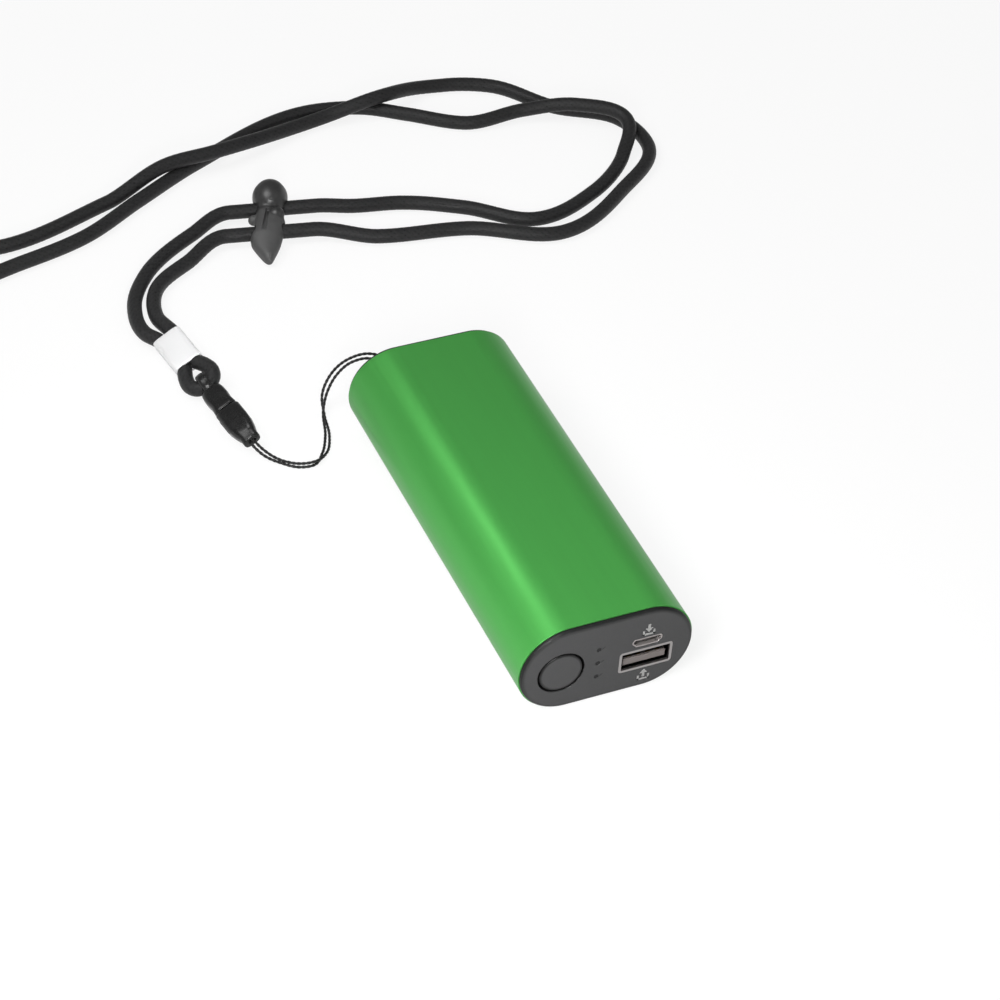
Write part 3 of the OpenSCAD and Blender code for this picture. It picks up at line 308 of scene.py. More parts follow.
def grid_mesh(name, points, heights):
    """A closed tube through rings of points, which keeps its relief as the attribute lift."""
    rings, sides = points.shape[:2]
    a = np.arange(rings - 1)[:, None] * sides + np.arange(sides)[None, :]
    b = np.arange(rings - 1)[:, None] * sides + (np.arange(sides)[None, :] + 1) % sides
    quads = np.stack([a, b, b + sides, a + sides], axis=2).reshape(-1, 4).tolist()
    caps = [list(range(sides))[::-1], list(range((rings - 1) * sides, rings * sides))]
    mesh = bpy.data.meshes.new(name)
    mesh.from_pydata(points.reshape(-1, 3).tolist(), [], quads + caps)
    lift = mesh.attributes.new("lift", "FLOAT", "POINT")
    lift.data.foreach_set("value", heights.reshape(-1))
    mesh.polygons.foreach_set("use_smooth", [True] * len(quads) + [False, False])
    mesh.update()
    return placed(name, mesh)


def swept(name, curve, radius, step, sides, relief, height):
    """A tube along a curve, whose radius follows the relief that height gives."""
    line, along = even_steps(curve, step)
    side, up = carried_frames(line)
    angle = np.linspace(0, 2 * math.pi, sides, endpoint=False)
    heights = height(angle[None, :], along[:, None])
    r = (radius - relief * (1 - heights))[:, :, None]
    c, s = np.cos(angle)[None, :, None], np.sin(angle)[None, :, None]
    spread = c * side[:, None, :] + s * up[:, None, :]
    piece = grid_mesh(name, line[:, None, :] + r * spread, heights)
    print(name, len(piece.data.vertices), "points")
    return piece


def braided(name, curve):
    radius = CORD_RADIUS + BRAID_PROUD
    return swept(name, curve, radius, BRAID_STEP, BRAID_SIDES, BRAID_RELIEF, braid_height)


def twisted(name, curve):
    relief = TWIST_RELIEF * STRING_RADIUS
    return swept(name, curve, STRING_RADIUS, TWIST_STEP, TWIST_SIDES, relief, twist_height)


neck_cord = braided("neck_cord_braid", neck_curve)
strap_string = twisted("strap_string_twist", string_curve)

# %% [markdown]
# ## The loop at the strap's end
# A short piece of the same cord comes out of the crimp, spreads, and goes round through the
# buckle's eye. Its half is given as shares of its reach and of its bend, and mirrored.

# %% Loop of cord through the buckle's eye
CRIMP_LENGTH = 13 * MM
CRIMP_WIDTH = 8.4 * MM
CRIMP_THICKNESS = 4.4 * MM
LOOP_REACH = 9 * MM
LOOP_BEND = 3.5 * MM
LOOP_SHARES = [(0, 0.586), (0.31, 0.89), (0.66, 1), (0.91, 0.66)]
EYE_X = CRIMP_LENGTH + LOOP_REACH


def loop_curve():
    leg = [Vector((CRIMP_LENGTH - LOOP_INSIDE * MM, LOOP_HALF * MM, 0))]
    leg += [Vector((CRIMP_LENGTH + a * LOOP_REACH, b * LOOP_BEND, 0)) for a, b in LOOP_SHARES]
    other = [Vector((p.x, -p.y, 0)) for p in leg]
    line = through(other + [Vector((EYE_X, 0, 0))] + leg[::-1])
    return np.array([tuple(strap_place @ p) for p in line])


end_loop = braided("end_loop_braid", loop_curve())

# %% [markdown]
# ## Small moulded pieces from sections
# The buckle and the slider are injection moulded, so they have no sharp edge anywhere. A loft
# draws them well: a row of sections, each an oval that is more or less square, joined into
# one closed skin. An exponent of 2 makes an ellipse, and 4 or 5 makes a box with soft corners.
# Holes are cut afterwards with the Boolean modifier, and a narrow bevel rounds what it leaves.

# %% Loft and cut helpers
def from_shape(name, shape):
    """Turns a bmesh into a piece of its own."""
    mesh = bpy.data.meshes.new(name)
    shape.to_mesh(mesh)
    shape.free()
    return placed(name, mesh)


def oval(width, height, squareness, count):
    points = []
    for k in range(count):
        a = 2 * math.pi * (k + 0.5) / count
        c, s = math.cos(a), math.sin(a)
        x = math.copysign(abs(c) ** (2 / squareness), c) * width / 2
        y = math.copysign(abs(s) ** (2 / squareness), s) * height / 2
        points.append((x, y))
    return points


def add_skin(shape, rings):
    """Adds a closed skin through rings of points, which are in millimetres, to a bmesh."""
    rings = [[shape.verts.new([c * MM for c in point]) for point in ring] for ring in rings]
    for near, far in zip(rings, rings[1:]):
        for k in range(len(near)):
            n = (k + 1) % len(near)
            shape.faces.new((near[k], near[n], far[n], far[k]))
    shape.faces.new(rings[0][::-1])
    shape.faces.new(rings[-1])
    bmesh.ops.recalc_face_normals(shape, faces=shape.faces)


def loft(name, sections, count=48):
    """Each section is x, its middle in y and z, its width, its height and its squareness."""
    rings = []
    for x, y, z, width, height, squareness in sections:
        rings.append([(x, y + a, z + b) for a, b in oval(width, height, squareness, count)])
    shape = bmesh.new()
    add_skin(shape, rings)
    return from_shape(name, shape)


def rod(name, start, end, radius, count=40):
    start, end = Vector(start) * MM, Vector(end) * MM
    shape = bmesh.new()
    bmesh.ops.create_cone(
        shape, cap_ends=True, segments=count, radius1=radius * MM, radius2=radius * MM,
        depth=(end - start).length,
    )
    piece = from_shape(name, shape)
    turned = (end - start).to_track_quat("Z", "Y").to_matrix().to_4x4()
    piece.data.transform(Matrix.Translation((start + end) / 2) @ turned)
    return piece


def modify(piece, kind, **settings):
    """Gives the piece a modifier with these settings."""
    step = piece.modifiers.new(kind, kind)
    for field, value in settings.items():
        setattr(step, field, value)


def settle(piece):
    """Applies the piece's modifiers."""
    graph = bpy.context.evaluated_depsgraph_get()
    mesh = bpy.data.meshes.new_from_object(piece.evaluated_get(graph))
    old = piece.data
    piece.modifiers.clear()
    piece.data = mesh
    bpy.data.meshes.remove(old)


def combine(piece, others, operation):
    """Cuts others out of the piece or joins them to it, and removes them."""
    for other in others:
        modify(piece, "BOOLEAN", operation=operation, solver="EXACT", object=other)
    settle(piece)
    for other in others:
        bpy.data.objects.remove(other)


def smooth(piece, angle):
    """Shades the faces smooth, apart from edges that turn by more than an angle in degrees."""
    shape = bmesh.new()
    shape.from_mesh(piece.data)
    limit = math.radians(angle)
    for face in shape.faces:
        face.smooth = True
    for edge in shape.edges:
        edge.smooth = len(edge.link_faces) == 2 and edge.calc_face_angle(0) < limit
    shape.to_mesh(piece.data)
    shape.free()


# %% [markdown]
# ## The crimp
# A strip of plated steel is folded round both cords and pressed flat. Its long edges are round,
# its mouths open a little, and the press leaves a fine crease along each edge of its face. The
# loft's outer skin, a second, smaller one for the hole and two rods for the creases are combined
# by cuts.

# %% Crimp sleeve
CRIMP_WALL = 0.5
CRIMP_MOUTH = 0.25
CREASE_INSET = 1.1
CREASE_RADIUS = 0.34
CREASE_RISE = 0.22
ROUND_SIDES = 64
SHARP_ANGLE = 50


def make_crimp():
    length, width, thick = CRIMP_LENGTH / MM, CRIMP_WIDTH / MM, CRIMP_THICKNESS / MM
    edge = [(0, 0.3), (0.12, 0.06), (0.5, 0)]
    outer = [(x, 0, 0, width - less, thick - less, 5) for x, less in edge]
    outer.append((length / 2, 0, 0, width, thick, 5.5))
    outer += [(length - x, 0, 0, width - less, thick - less, 5) for x, less in edge[::-1]]
    inner = []
    for x, more in [(-1, CRIMP_MOUTH), (0.4, 0), (length - 0.4, 0), (length + 1, CRIMP_MOUTH)]:
        less = 2 * CRIMP_WALL - more
        inner.append((x, 0, 0, width - less, thick - less, 4.5))
    crimp = loft("crimp", outer, ROUND_SIDES)
    combine(crimp, [loft("hole", inner, ROUND_SIDES)], "DIFFERENCE")
    z = thick / 2 + CREASE_RISE
    creases = []
    for y in (CREASE_INSET - width / 2, width / 2 - CREASE_INSET):
        creases.append(rod("crease", (-1, y, z), (length + 1, y, z), CREASE_RADIUS, 20))
    combine(crimp, creases, "DIFFERENCE")
    smooth(crimp, SHARP_ANGLE)
    crimp.data.transform(strap_place)
    return crimp


crimp = make_crimp()
print("crimp", len(crimp.data.polygons), "faces")

# %% [markdown]
# ## The buckle
# The plug is one moulding: an eye for the loop, a waisted head to grip, and a prong with two
# catches. The socket is a soft box, open at the prong's end, with a slot in each side for the
# catches and a narrow block that holds the string's ends. Plug and socket keep the clearance
# that the frame gives them, so that the plug can slide out.

# %% Buckle plug and socket
PRONG_X = 33.5
PRONG_LENGTH = 9.0
SOCKET_X = 33.8
SOCKET_END = 44.5
BLOCK_END = 46.9
EYE_SECTIONS = [
    (-1.4, 6.3), (-1.2, 6.9), (-0.6, 7.25), (0, 7.3), (0.6, 7.25), (1.2, 6.9), (1.4, 6.3),
]
EYE_HOLE = 2.3
PRONG_HALF = (1.9, 1.1)
CATCH_HALF = (3.3, 0.8)
CATCH_START = 4.5
CATCH_STOP = 2.0
CAVITY_HALF = (2.2, 1.4)
SLOT_HALF = (4.5, 1.1)
SLOT_STOP = 1.7
STRING_HOLES = (-0.6, 0.6)
STRING_HOLE_RADIUS = 0.5
STRING_HOLE_START = 45.35


def box(name, start, end, half):
    """A box from start to end along x, with half its width and half its height."""
    y, z = half
    shape = bmesh.new()
    add_skin(shape, [[(x, -y, -z), (x, y, -z), (x, y, z), (x, -y, z)] for x in (start, end)])
    return from_shape(name, shape)


def soften(piece, width):
    """Rounds the sharp edges of a moulding."""
    limit = math.radians(SHARP_ANGLE)
    modify(piece, "BEVEL", width=width * MM, segments=2, limit_method="ANGLE", angle_limit=limit)
    settle(piece)
    smooth(piece, SHARP_ANGLE)


def make_plug():
    eye_x = EYE_X / MM
    plug = loft("plug", [(x, 0, 0, size, size, 2) for x, size in EYE_SECTIONS], ROUND_SIDES)
    turned = Matrix.Rotation(math.radians(90), 4, "Z")
    plug.data.transform(Matrix.Translation((EYE_X, 0, 0)) @ turned)
    head = loft("head", [
        (24.4, 0, 0, 5.0, 3.8, 3), (25.2, 0, 0, 5.9, 4.3, 3), (26.5, 0, 0, 6.3, 4.55, 3),
        (28.5, 0, 0, 6.4, 4.6, 3), (30.8, 0, 0, 6.0, 4.55, 3), (32.4, 0, 0, 6.4, 4.6, 3),
        (33.1, 0, 0, 6.35, 4.5, 3), (33.4, 0, 0, 6.1, 4.3, 3), (PRONG_X, 0, 0, 5.7, 3.9, 3),
    ])
    prong_end = PRONG_X + PRONG_LENGTH
    prong = box("prong", PRONG_X - 0.5, prong_end, PRONG_HALF)
    catch = box("catch", prong_end - CATCH_START, prong_end - CATCH_STOP, CATCH_HALF)
    combine(plug, [head, prong, catch], "UNION")
    hole = rod("hole", (eye_x, -3, 0), (eye_x, 3, 0), EYE_HOLE, 48)
    combine(plug, [hole], "DIFFERENCE")
    soften(plug, 0.12)
    plug.name = "buckle_plug_moulding"
    plug.data.transform(strap_place)
    return plug


def make_socket():
    socket = loft("socket", [
        (SOCKET_X, 0, 0, 6.7, 4.1, 3), (SOCKET_X + 0.15, 0, 0, 7.05, 4.45, 3),
        (SOCKET_X + 0.5, 0, 0, 7.2, 4.6, 3), (38.5, 0, 0, 7.2, 4.6, 3), (40.5, 0, 0, 7.0, 4.6, 3),
        (42.5, 0, 0, 6.2, 4.4, 3), (44.0, 0, 0, 5.4, 4.1, 3), (SOCKET_END, 0, 0, 5.0, 3.8, 3),
        (44.9, 0, 0, 4.8, 3.4, 3), (46.4, 0, 0, 4.8, 3.3, 3), (46.75, 0, 0, 4.6, 3.1, 3),
        (BLOCK_END, 0, 0, 4.2, 2.7, 3),
    ])
    cuts = [
        box("cavity", SOCKET_X - 1, SOCKET_X + PRONG_LENGTH, CAVITY_HALF),
        box("slots", SOCKET_X - 1, PRONG_X + PRONG_LENGTH - SLOT_STOP, SLOT_HALF),
    ]
    for y in STRING_HOLES:
        start, end = (STRING_HOLE_START, y, 0), (BLOCK_END + 1, y, 0)
        cuts.append(rod("hole", start, end, STRING_HOLE_RADIUS, 20))
    combine(socket, cuts, "DIFFERENCE")
    soften(socket, 0.1)
    socket.name = "buckle_socket_moulding"
    socket.data.transform(strap_place)
    return socket


plug = make_plug()
socket = make_socket()
print("plug", len(plug.data.polygons), "faces, socket", len(socket.data.polygons), "faces")

# %% [markdown]
# ## The slider
# A bead with a round head and a leaf below it rides on both strands and sets how long the neck
# loop is. A button beside its neck and a small lug at its side stand out of it. Its parts flow
# into each other, so it is modelled as overlapping solids that a voxel remesh melts into one
# skin. The leaf's groove is cut next and melted a little too. The two holes are cut last, so
# that they stay true, and the skin then carries an attribute called matt that tells the dull
# leaf from the polished rest.

# %% Cord slider
SLIDER_ORIGIN = Vector((-8.5, 150.2, 0)) * MM
SLIDER_TURN = math.radians(-111.7)
HOLE_RADIUS = 2.3
BUTTON_PLACE = (8.6, 2.0, 5.7)
BUTTON_RADIUS = 2.3
BUTTON_MARGIN = 0.1
BUTTON_BLEND = 0.4
LUG_PLACE = (8.6, -4.3, 3.3)
LUG_RADIUS = 1.6
LEAF_START = 6.5
LEAF_BLEND = 1.0
GROOVE = ((7.0, -0.3, 6.5), (16.5, -1.2, 6.6))
GROOVE_RADIUS = 0.6
BALL_RINGS = 20
BALL_SIDES = 36
VOXEL = 0.24
SKIN_PASSES = 16
GROOVE_PASSES = 3
HOLE_EDGE_ANGLE = 45
LOWEST = 0.05 * MM


def joined(name, parts):
    """One piece that holds the shells of several parts."""
    shape = bmesh.new()
    for part in parts:
        shape.from_mesh(part.data)
        bpy.data.objects.remove(part)
    return from_shape(name, shape)


def melt(piece, passes):
    """Joins overlapping shells into one skin and rounds the creases between them."""
    modify(piece, "REMESH", mode="VOXEL", voxel_size=VOXEL * MM)
    modify(piece, "SMOOTH", factor=0.5, iterations=passes)
    settle(piece)
    for face in piece.data.polygons:
        face.use_smooth = True


def ball(name, x, y, z, radius, tail=1.0):
    """A ball, whose half on the leaf's side can be drawn out by tail into an egg."""
    turns = [math.pi * (k + 0.5) / BALL_RINGS for k in range(BALL_RINGS)]
    rings = []
    for a in turns:
        along = -radius * math.cos(a)
        across = 2 * radius * math.sin(a)
        rings.append((x + along * (tail if along > 0 else 1), y, z, across, across, 2))
    return loft(name, rings, BALL_SIDES)


def mark_matt(piece, place):
    """Writes 1 on the leaf and 0 on the head and the button, with a short blend between them."""
    back = place.inverted()
    matt = piece.data.attributes.new("matt", "FLOAT", "POINT")
    for i, v in enumerate(piece.data.vertices):
        at = (back @ v.co) / MM
        leaf = min(1, max(0, (at.x - LEAF_START) / LEAF_BLEND))
        past = (at - Vector(BUTTON_PLACE)).length - BUTTON_RADIUS - BUTTON_MARGIN
        clear = min(1, max(0, past / BUTTON_BLEND))
        matt.data[i].value = leaf * clear


def make_slider():
    head = ball("head", 0, 0, 5.0, 5.0, 1.3)
    crown = ball("crown", 0, 0, 6.1, 4.4, 1.35)
    leaf = loft("leaf", [
        (2.0, -0.4, 3.6, 5.6, 6.4, 2.2), (5.0, -0.4, 3.6, 6.6, 6.4, 2.2),
        (8.0, 0.0, 3.6, 7.4, 6.6, 2.2), (10.0, 0.4, 3.7, 8.4, 6.8, 2.2),
        (14.0, 0.1, 3.6, 8.6, 6.9, 2.1), (17.0, -0.5, 3.3, 9.0, 6.5, 2.1),
        (19.5, -0.55, 2.8, 8.1, 5.5, 2.1), (22.0, -0.15, 2.4, 5.7, 4.7, 2.1),
        (24.0, 0.2, 2.2, 3.6, 4.2, 2), (25.4, 0.5, 2.1, 2.2, 2.8, 2), (25.9, 0.6, 2.1, 1.2, 1.4, 2),
    ], 40)
    button = ball("button", *BUTTON_PLACE, BUTTON_RADIUS)
    lug = ball("lug", *LUG_PLACE, LUG_RADIUS)
    slider = joined("slider", [head, crown, leaf, button, lug])
    melt(slider, SKIN_PASSES)
    for v in slider.data.vertices:
        v.co.z = max(v.co.z, LOWEST)
    combine(slider, [rod("groove", *GROOVE, GROOVE_RADIUS, 24)], "DIFFERENCE")
    melt(slider, GROOVE_PASSES)
    place = Matrix.Translation(SLIDER_ORIGIN) @ Matrix.Rotation(SLIDER_TURN, 4, "Z")
    slider.data.transform(place)
    way = Vector((math.cos(STRAND_TURN), math.sin(STRAND_TURN), 0)) * STRAND_REACH
    holes = []
    for x, y in STRAND_PLACES:
        at = Vector((x, y, STRAND_Z))
        holes.append(rod("hole", at - way, at + way, HOLE_RADIUS, 48))
    combine(slider, holes, "DIFFERENCE")
    smooth(slider, HOLE_EDGE_ANGLE)
    mark_matt(slider, place)
    slider.name = "cord_slider_moulding"
    return slider


slider = make_slider()
print("slider", len(slider.data.polygons), "faces")

# %% [markdown]
# ## Marks on the front cap
# Two small pictograms say which port charges the warmer and which one gives power out, and a
# small tick stands beside each charge light. They are pad printed: ink a few hundredths
# of a millimetre thick. Each mark is a flat outline, given that thickness and set just clear of
# the face.

# %% Printed marks
FACE_Y = -55.5
BUTTON_X = -12.0
BUTTON_Z = 12.0
INK_THICKNESS = 0.03
INK_GAP = 0.01
PORT_X = 10.1
LIGHT_X = -2.55
LIGHT_HEIGHTS = (16.35, 12.0, 7.65)


def printed(name, outlines):
    """Each outline is a list of x and z places on the cap's face, in millimetres."""
    back = FACE_Y - INK_GAP
    shape = bmesh.new()
    for outline in outlines:
        add_skin(shape, [[(x, y, z) for x, z in outline] for y in (back - INK_THICKNESS, back)])
    return from_shape(name, shape)


def bar(x, z, width, height):
    return [(x - width / 2, z - height / 2), (x + width / 2, z - height / 2),
            (x + width / 2, z + height / 2), (x - width / 2, z + height / 2)]


def arrow(x, z, width, height, way):
    """Head and shaft of an arrow whose tip points up for way 1 and down for way -1."""
    tip, neck, tail = z + way * height / 2, z, z - way * height / 2
    points = [
        (x, tip), (x + width / 2, neck), (x + width / 6, neck), (x + width / 6, tail),
        (x - width / 6, tail), (x - width / 6, neck), (x - width / 2, neck),
    ]
    return points[::-1] if way > 0 else points


def tray(x, z, width, height, line):
    """Open tray under an arrow."""
    left, right, low = x - width / 2, x + width / 2, z
    return [
        bar(x, low + line / 2, width, line), bar(left + line / 2, low + height / 2, line, height),
        bar(right - line / 2, low + height / 2, line, height),
    ]


def tick(x, z):
    """Small slanted dash beside a light."""
    return [(x, z - 0.16), (x + 0.75, z + 0.42), (x + 0.75, z + 0.62), (x, z + 0.12)]


def mark(x, low, way):
    """Arrow over a tray, 3.2 mm wide and 3.4 mm high; way is -1 for charging and 1 for output."""
    return [arrow(x, low + 2.15, 2.0, 2.5, way)] + tray(x, low, 3.2, 1.5, 0.5)


charge_mark = printed("charge_mark", mark(PORT_X + 0.05, 17.2, -1))
output_mark = printed("output_mark", mark(PORT_X - 0.1, 2.6, 1))
light_marks = printed("light_marks", [tick(LIGHT_X + 0.75, z) for z in LIGHT_HEIGHTS])
print("three groups of printed marks")

# %% [markdown]
# ## Shared effects as node groups
# Several finishes need the same things: a grain that can be stretched into streaks, a value
# spread over a chosen range, softened edges, and a colour that gets a little lighter and darker.
# Each effect is one node group with named inputs, so every material that uses it can set its
# own scale and strength.

# %% Node groups
def new_group(name, inputs, outputs):
    group = bpy.data.node_groups.new(name, "ShaderNodeTree")
    for label, kind, value in inputs:
        entry = group.interface.new_socket(name=label, in_out="INPUT", socket_type=kind)
        entry.default_value = value
    for label, kind in outputs:
        group.interface.new_socket(name=label, in_out="OUTPUT", socket_type=kind)
    start = group.nodes.new("NodeGroupInput")
    end = group.nodes.new("NodeGroupOutput")
    return group, start, end


def add(tree, kind, settings=None, links=None):
    """Adds a node, sets its fields, and feeds its inputs with sockets or values."""
    node = tree.nodes.new(kind)
    for field, value in (settings or {}).items():
        setattr(node, field, value)
    for socket, value in (links or {}).items():
        if isinstance(value, bpy.types.NodeSocket):
            tree.links.new(value, node.inputs[socket])
        else:
            node.inputs[socket].default_value = value
    return node


def calc(tree, operation, a, b):
    """The result of a Math node on two sockets or numbers."""
    return add(tree, "ShaderNodeMath", {"operation": operation}, {0: a, 1: b}).outputs["Value"]


FLOAT, COLOR, VECTOR = "NodeSocketFloat", "NodeSocketColor", "NodeSocketVector"


def grain_group():
    """Noise in metres along the object's own directions, stretched as Stretch says."""
    group, start, end = new_group(
        "grain",
        [("Scale", FLOAT, 1000.0), ("Stretch", VECTOR, (1, 1, 1)), ("Detail", FLOAT, 3.0)],
        [("Value", FLOAT)],
    )
    place = add(group, "ShaderNodeTexCoord")
    moved = add(group, "ShaderNodeMapping", {"vector_type": "POINT"}, {
        "Vector": place.outputs["Object"], "Scale": start.outputs["Stretch"],
    })
    noise = add(group, "ShaderNodeTexNoise", {}, {
        "Vector": moved.outputs["Vector"], "Scale": start.outputs["Scale"],
        "Detail": start.outputs["Detail"], "Roughness": 0.6,
    })
    group.links.new(noise.outputs["Fac"], end.inputs["Value"])
    return group


def spread_group():
    """Moves a value from the range 0 to 1 into the range Low to High, keeping its middle sharp."""
    group, start, end = new_group(
        "spread",
        [("Value", FLOAT, 0.5), ("Low", FLOAT, 0.0), ("High", FLOAT, 1.0)],
        [("Value", FLOAT)],
    )
    ramp = add(group, "ShaderNodeMapRange", {"interpolation_type": "SMOOTHSTEP"}, {
        "Value": start.outputs["Value"], "From Min": 0.3, "From Max": 0.7,
        "To Min": start.outputs["Low"], "To Max": start.outputs["High"],
    })
    group.links.new(ramp.outputs["Result"], end.inputs["Value"])
    return group


def edge_group():
    """A normal that turns gently over a sharp edge, as if the edge were rounded."""
    group, start, end = new_group(
        "soft_edge", [("Radius", FLOAT, 0.2 * MM)], [("Normal", VECTOR)],
    )
    bevel = add(group, "ShaderNodeBevel", {"samples": 6}, {"Radius": start.outputs["Radius"]})
    group.links.new(bevel.outputs["Normal"], end.inputs["Normal"])
    return group


def tint_group():
    """Shades a colour darker or lighter by a value round 0.5."""
    group, start, end = new_group(
        "tint",
        [("Color", COLOR, (0.5, 0.5, 0.5, 1)), ("Value", FLOAT, 0.5), ("Amount", FLOAT, 0.1)],
        [("Color", COLOR)],
    )
    centred = calc(group, "SUBTRACT", start.outputs["Value"], 0.5)
    scaled = calc(group, "MULTIPLY", centred, start.outputs["Amount"])
    shaded = add(group, "ShaderNodeVectorMath", {"operation": "SCALE"}, {
        0: start.outputs["Color"], "Scale": calc(group, "ADD", scaled, 1.0),
    })
    group.links.new(shaded.outputs["Vector"], end.inputs["Color"])
    return group


GROUPS = {
    "grain": grain_group(), "spread": spread_group(),
    "soft_edge": edge_group(), "tint": tint_group(),
}
print(len(GROUPS), "node groups")

# %% [markdown]
# ## A bench for building materials
# Every material starts the same way: a Principled shader whose plain numbers are typed on its
# own sockets, and a grain that varies the colour, the roughness and the surface a little. The
# few finishes that need more add to that start. Each finished material is filed under the name
# by which the pieces ask for it.

# %% Material bench
MIX_FIRST, MIX_SECOND, MIX_RESULT = 6, 7, 2


class Finish:
    """A material, its tree and its Principled shader, with short ways to add the shared effects."""

    def __init__(self, name, color, roughness, metallic=0.0, **plain):
        self.material = bpy.data.materials.new(name)
        self.material.use_nodes = True
        self.tree = self.material.node_tree
        self.shader = self.tree.nodes["Principled BSDF"]
        self.color = (*color, 1)
        self.roughness = roughness
        self.shader.inputs["Base Color"].default_value = self.color
        self.shader.inputs["Roughness"].default_value = roughness
        self.shader.inputs["Metallic"].default_value = metallic
        for label, value in plain.items():
            self.shader.inputs[label.replace("_", " ")].default_value = value
        self.material.diffuse_color = self.color

    def add(self, kind, settings=None, links=None):
        return add(self.tree, kind, settings, links)

    def group(self, name, links):
        return self.add("ShaderNodeGroup", {"node_tree": GROUPS[name]}, links)

    def grain(self, scale, stretch=(1, 1, 1), detail=3.0):
        node = self.group("grain", {"Scale": scale, "Stretch": stretch, "Detail": detail})
        return node.outputs["Value"]

    def place(self):
        """The point's place on its own piece, in metres."""
        return self.add("ShaderNodeTexCoord").outputs["Object"]

    def split(self, place):
        """X, Y and Z of a place."""
        return self.add("ShaderNodeSeparateXYZ", {}, {0: place}).outputs

    def attribute(self, name):
        """A value that the mesh carries at each of its points."""
        settings = {"attribute_name": name, "attribute_type": "GEOMETRY"}
        return self.add("ShaderNodeAttribute", settings).outputs["Fac"]

    def step(self, value, start, end):
        """A mask that goes smoothly from 0 to 1 as a value goes from start to end."""
        node = self.add("ShaderNodeMapRange", {"interpolation_type": "SMOOTHSTEP"}, {
            "Value": value, "From Min": start, "From Max": end,
        })
        return node.outputs["Result"]

    def length(self, place):
        node = self.add("ShaderNodeVectorMath", {"operation": "LENGTH"}, {0: place})
        return node.outputs["Value"]

    def mix(self, mask, first, second):
        """One colour where the mask is 0 and another where it is 1."""
        node = self.add("ShaderNodeMix", {"data_type": "RGBA"}, {
            "Factor": mask, MIX_FIRST: first, MIX_SECOND: second,
        })
        return node.outputs[MIX_RESULT]

    def vary_color(self, value, amount, color=None):
        node = self.group("tint", {"Color": color or self.color, "Value": value, "Amount": amount})
        self.feed("Base Color", node.outputs["Color"])
        return node.outputs["Color"]

    def vary_roughness(self, value, low, high):
        node = self.group("spread", {"Value": value, "Low": low, "High": high})
        self.feed("Roughness", node.outputs["Value"])

    def bump(self, value, depth, strength=1.0, normal=None):
        links = {"Height": value, "Distance": depth, "Strength": strength}
        if normal:
            links["Normal"] = normal
        self.feed("Normal", self.add("ShaderNodeBump", {}, links).outputs["Normal"])

    def soft_edge(self, radius):
        return self.group("soft_edge", {"Radius": radius}).outputs["Normal"]

    def vary_all(self, value, amount, spread, depth, edge=None):
        """Lets one value vary the colour, the roughness and the surface a little."""
        shade = self.vary_color(value, amount)
        self.vary_roughness(value, self.roughness - spread, self.roughness + spread)
        self.bump(value, depth, 0.3, self.soft_edge(edge) if edge else None)
        return shade

    def feed(self, label, socket):
        self.tree.links.new(socket, self.shader.inputs[label])


def plain_finish(
    name, color, roughness, metallic=0.0, scale=900.0, amount=0.15, spread=0.06, **plain
):
    """A finish with one even grain and nothing else."""
    f = Finish(name, color, roughness, metallic, **plain)
    f.vary_all(f.grain(scale), amount, spread, 0.02 * MM)
    return f.material


FINISHES = {}


def keep(**made):
    FINISHES.update(made)
    print("finishes:", ", ".join(made))


# %% [markdown]
# ## The sleeve: satin anodised aluminium
# The tube is extruded, blasted to a satin and dyed green through its oxide. Under the dye it is
# still metal, so it is half metallic with a fairly rough surface. Extrusion leaves faint streaks
# along its length, which stretch the grain along Y, and blasting leaves a fine even sparkle.

# %% Green anodised finish
def green_anodised():
    f = Finish("green_anodised", (0.07, 0.36, 0.07), 0.4, 0.5, Specular_IOR_Level=0.3)
    streaks = f.grain(900.0, stretch=(1, 0.02, 1), detail=4.0)
    sparkle = f.grain(9000.0, detail=2.0)
    f.vary_color(streaks, 0.12)
    f.vary_roughness(streaks, 0.36, 0.44)
    f.bump(sparkle, 0.02 * MM, 0.35, f.soft_edge(0.25 * MM))
    return f.material


keep(sleeve=green_anodised())

# %% [markdown]
# ## The caps and the button: textured plastic
# The mould is spark eroded, which prints a fine matte texture on everything that it touches.
# The lip and the round edge of the front cap's face, and the round edge of the button, get a
# painted shade: a darker colour where shade falls in the gap at the sleeve and over the rounded
# edges. These are found from the distance behind the face and from the outline's own shape, two
# straight sides and two half circles, so they look the same from every side.

# %% Textured plastics
# Where the painted shade lies: on the lip behind the face, along the face's outline and round the
# button's edge, in millimetres.
RIM_SHADE_START = -55.45
RIM_SHADE_END = -55.2
FACE_STRAIGHT = 10.0
FACE_MIDDLE = 12.5
OUTLINE_SHADE_START = 10.9
OUTLINE_SHADE_END = 12.3
BUTTON_SHADE_START = 4.7
BUTTON_SHADE_END = 5.3


def outline_shade(f):
    """Painted shade mask: 1 along the outline of the cap's face, and 0 inside it."""
    split = f.split(f.place())
    past = calc(f.tree, "SUBTRACT", calc(f.tree, "ABSOLUTE", split["X"], 0.0), FACE_STRAIGHT * MM)
    across = calc(f.tree, "MAXIMUM", past, 0.0)
    up = calc(f.tree, "SUBTRACT", split["Z"], FACE_MIDDLE * MM)
    spot = f.add("ShaderNodeCombineXYZ", {}, {"X": across, "Z": up}).outputs["Vector"]
    return f.step(f.length(spot), OUTLINE_SHADE_START * MM, OUTLINE_SHADE_END * MM)


def button_edge_shade(f):
    """Painted shade mask: 1 round the button's edge, where the groove round it is in shade, and 0
    inside it.
    """
    middle = (BUTTON_X * MM, FACE_Y * MM, BUTTON_Z * MM)
    away = f.add("ShaderNodeVectorMath", {"operation": "SUBTRACT"}, {0: f.place(), 1: middle})
    return f.step(f.length(away.outputs["Vector"]), BUTTON_SHADE_START * MM, BUTTON_SHADE_END * MM)


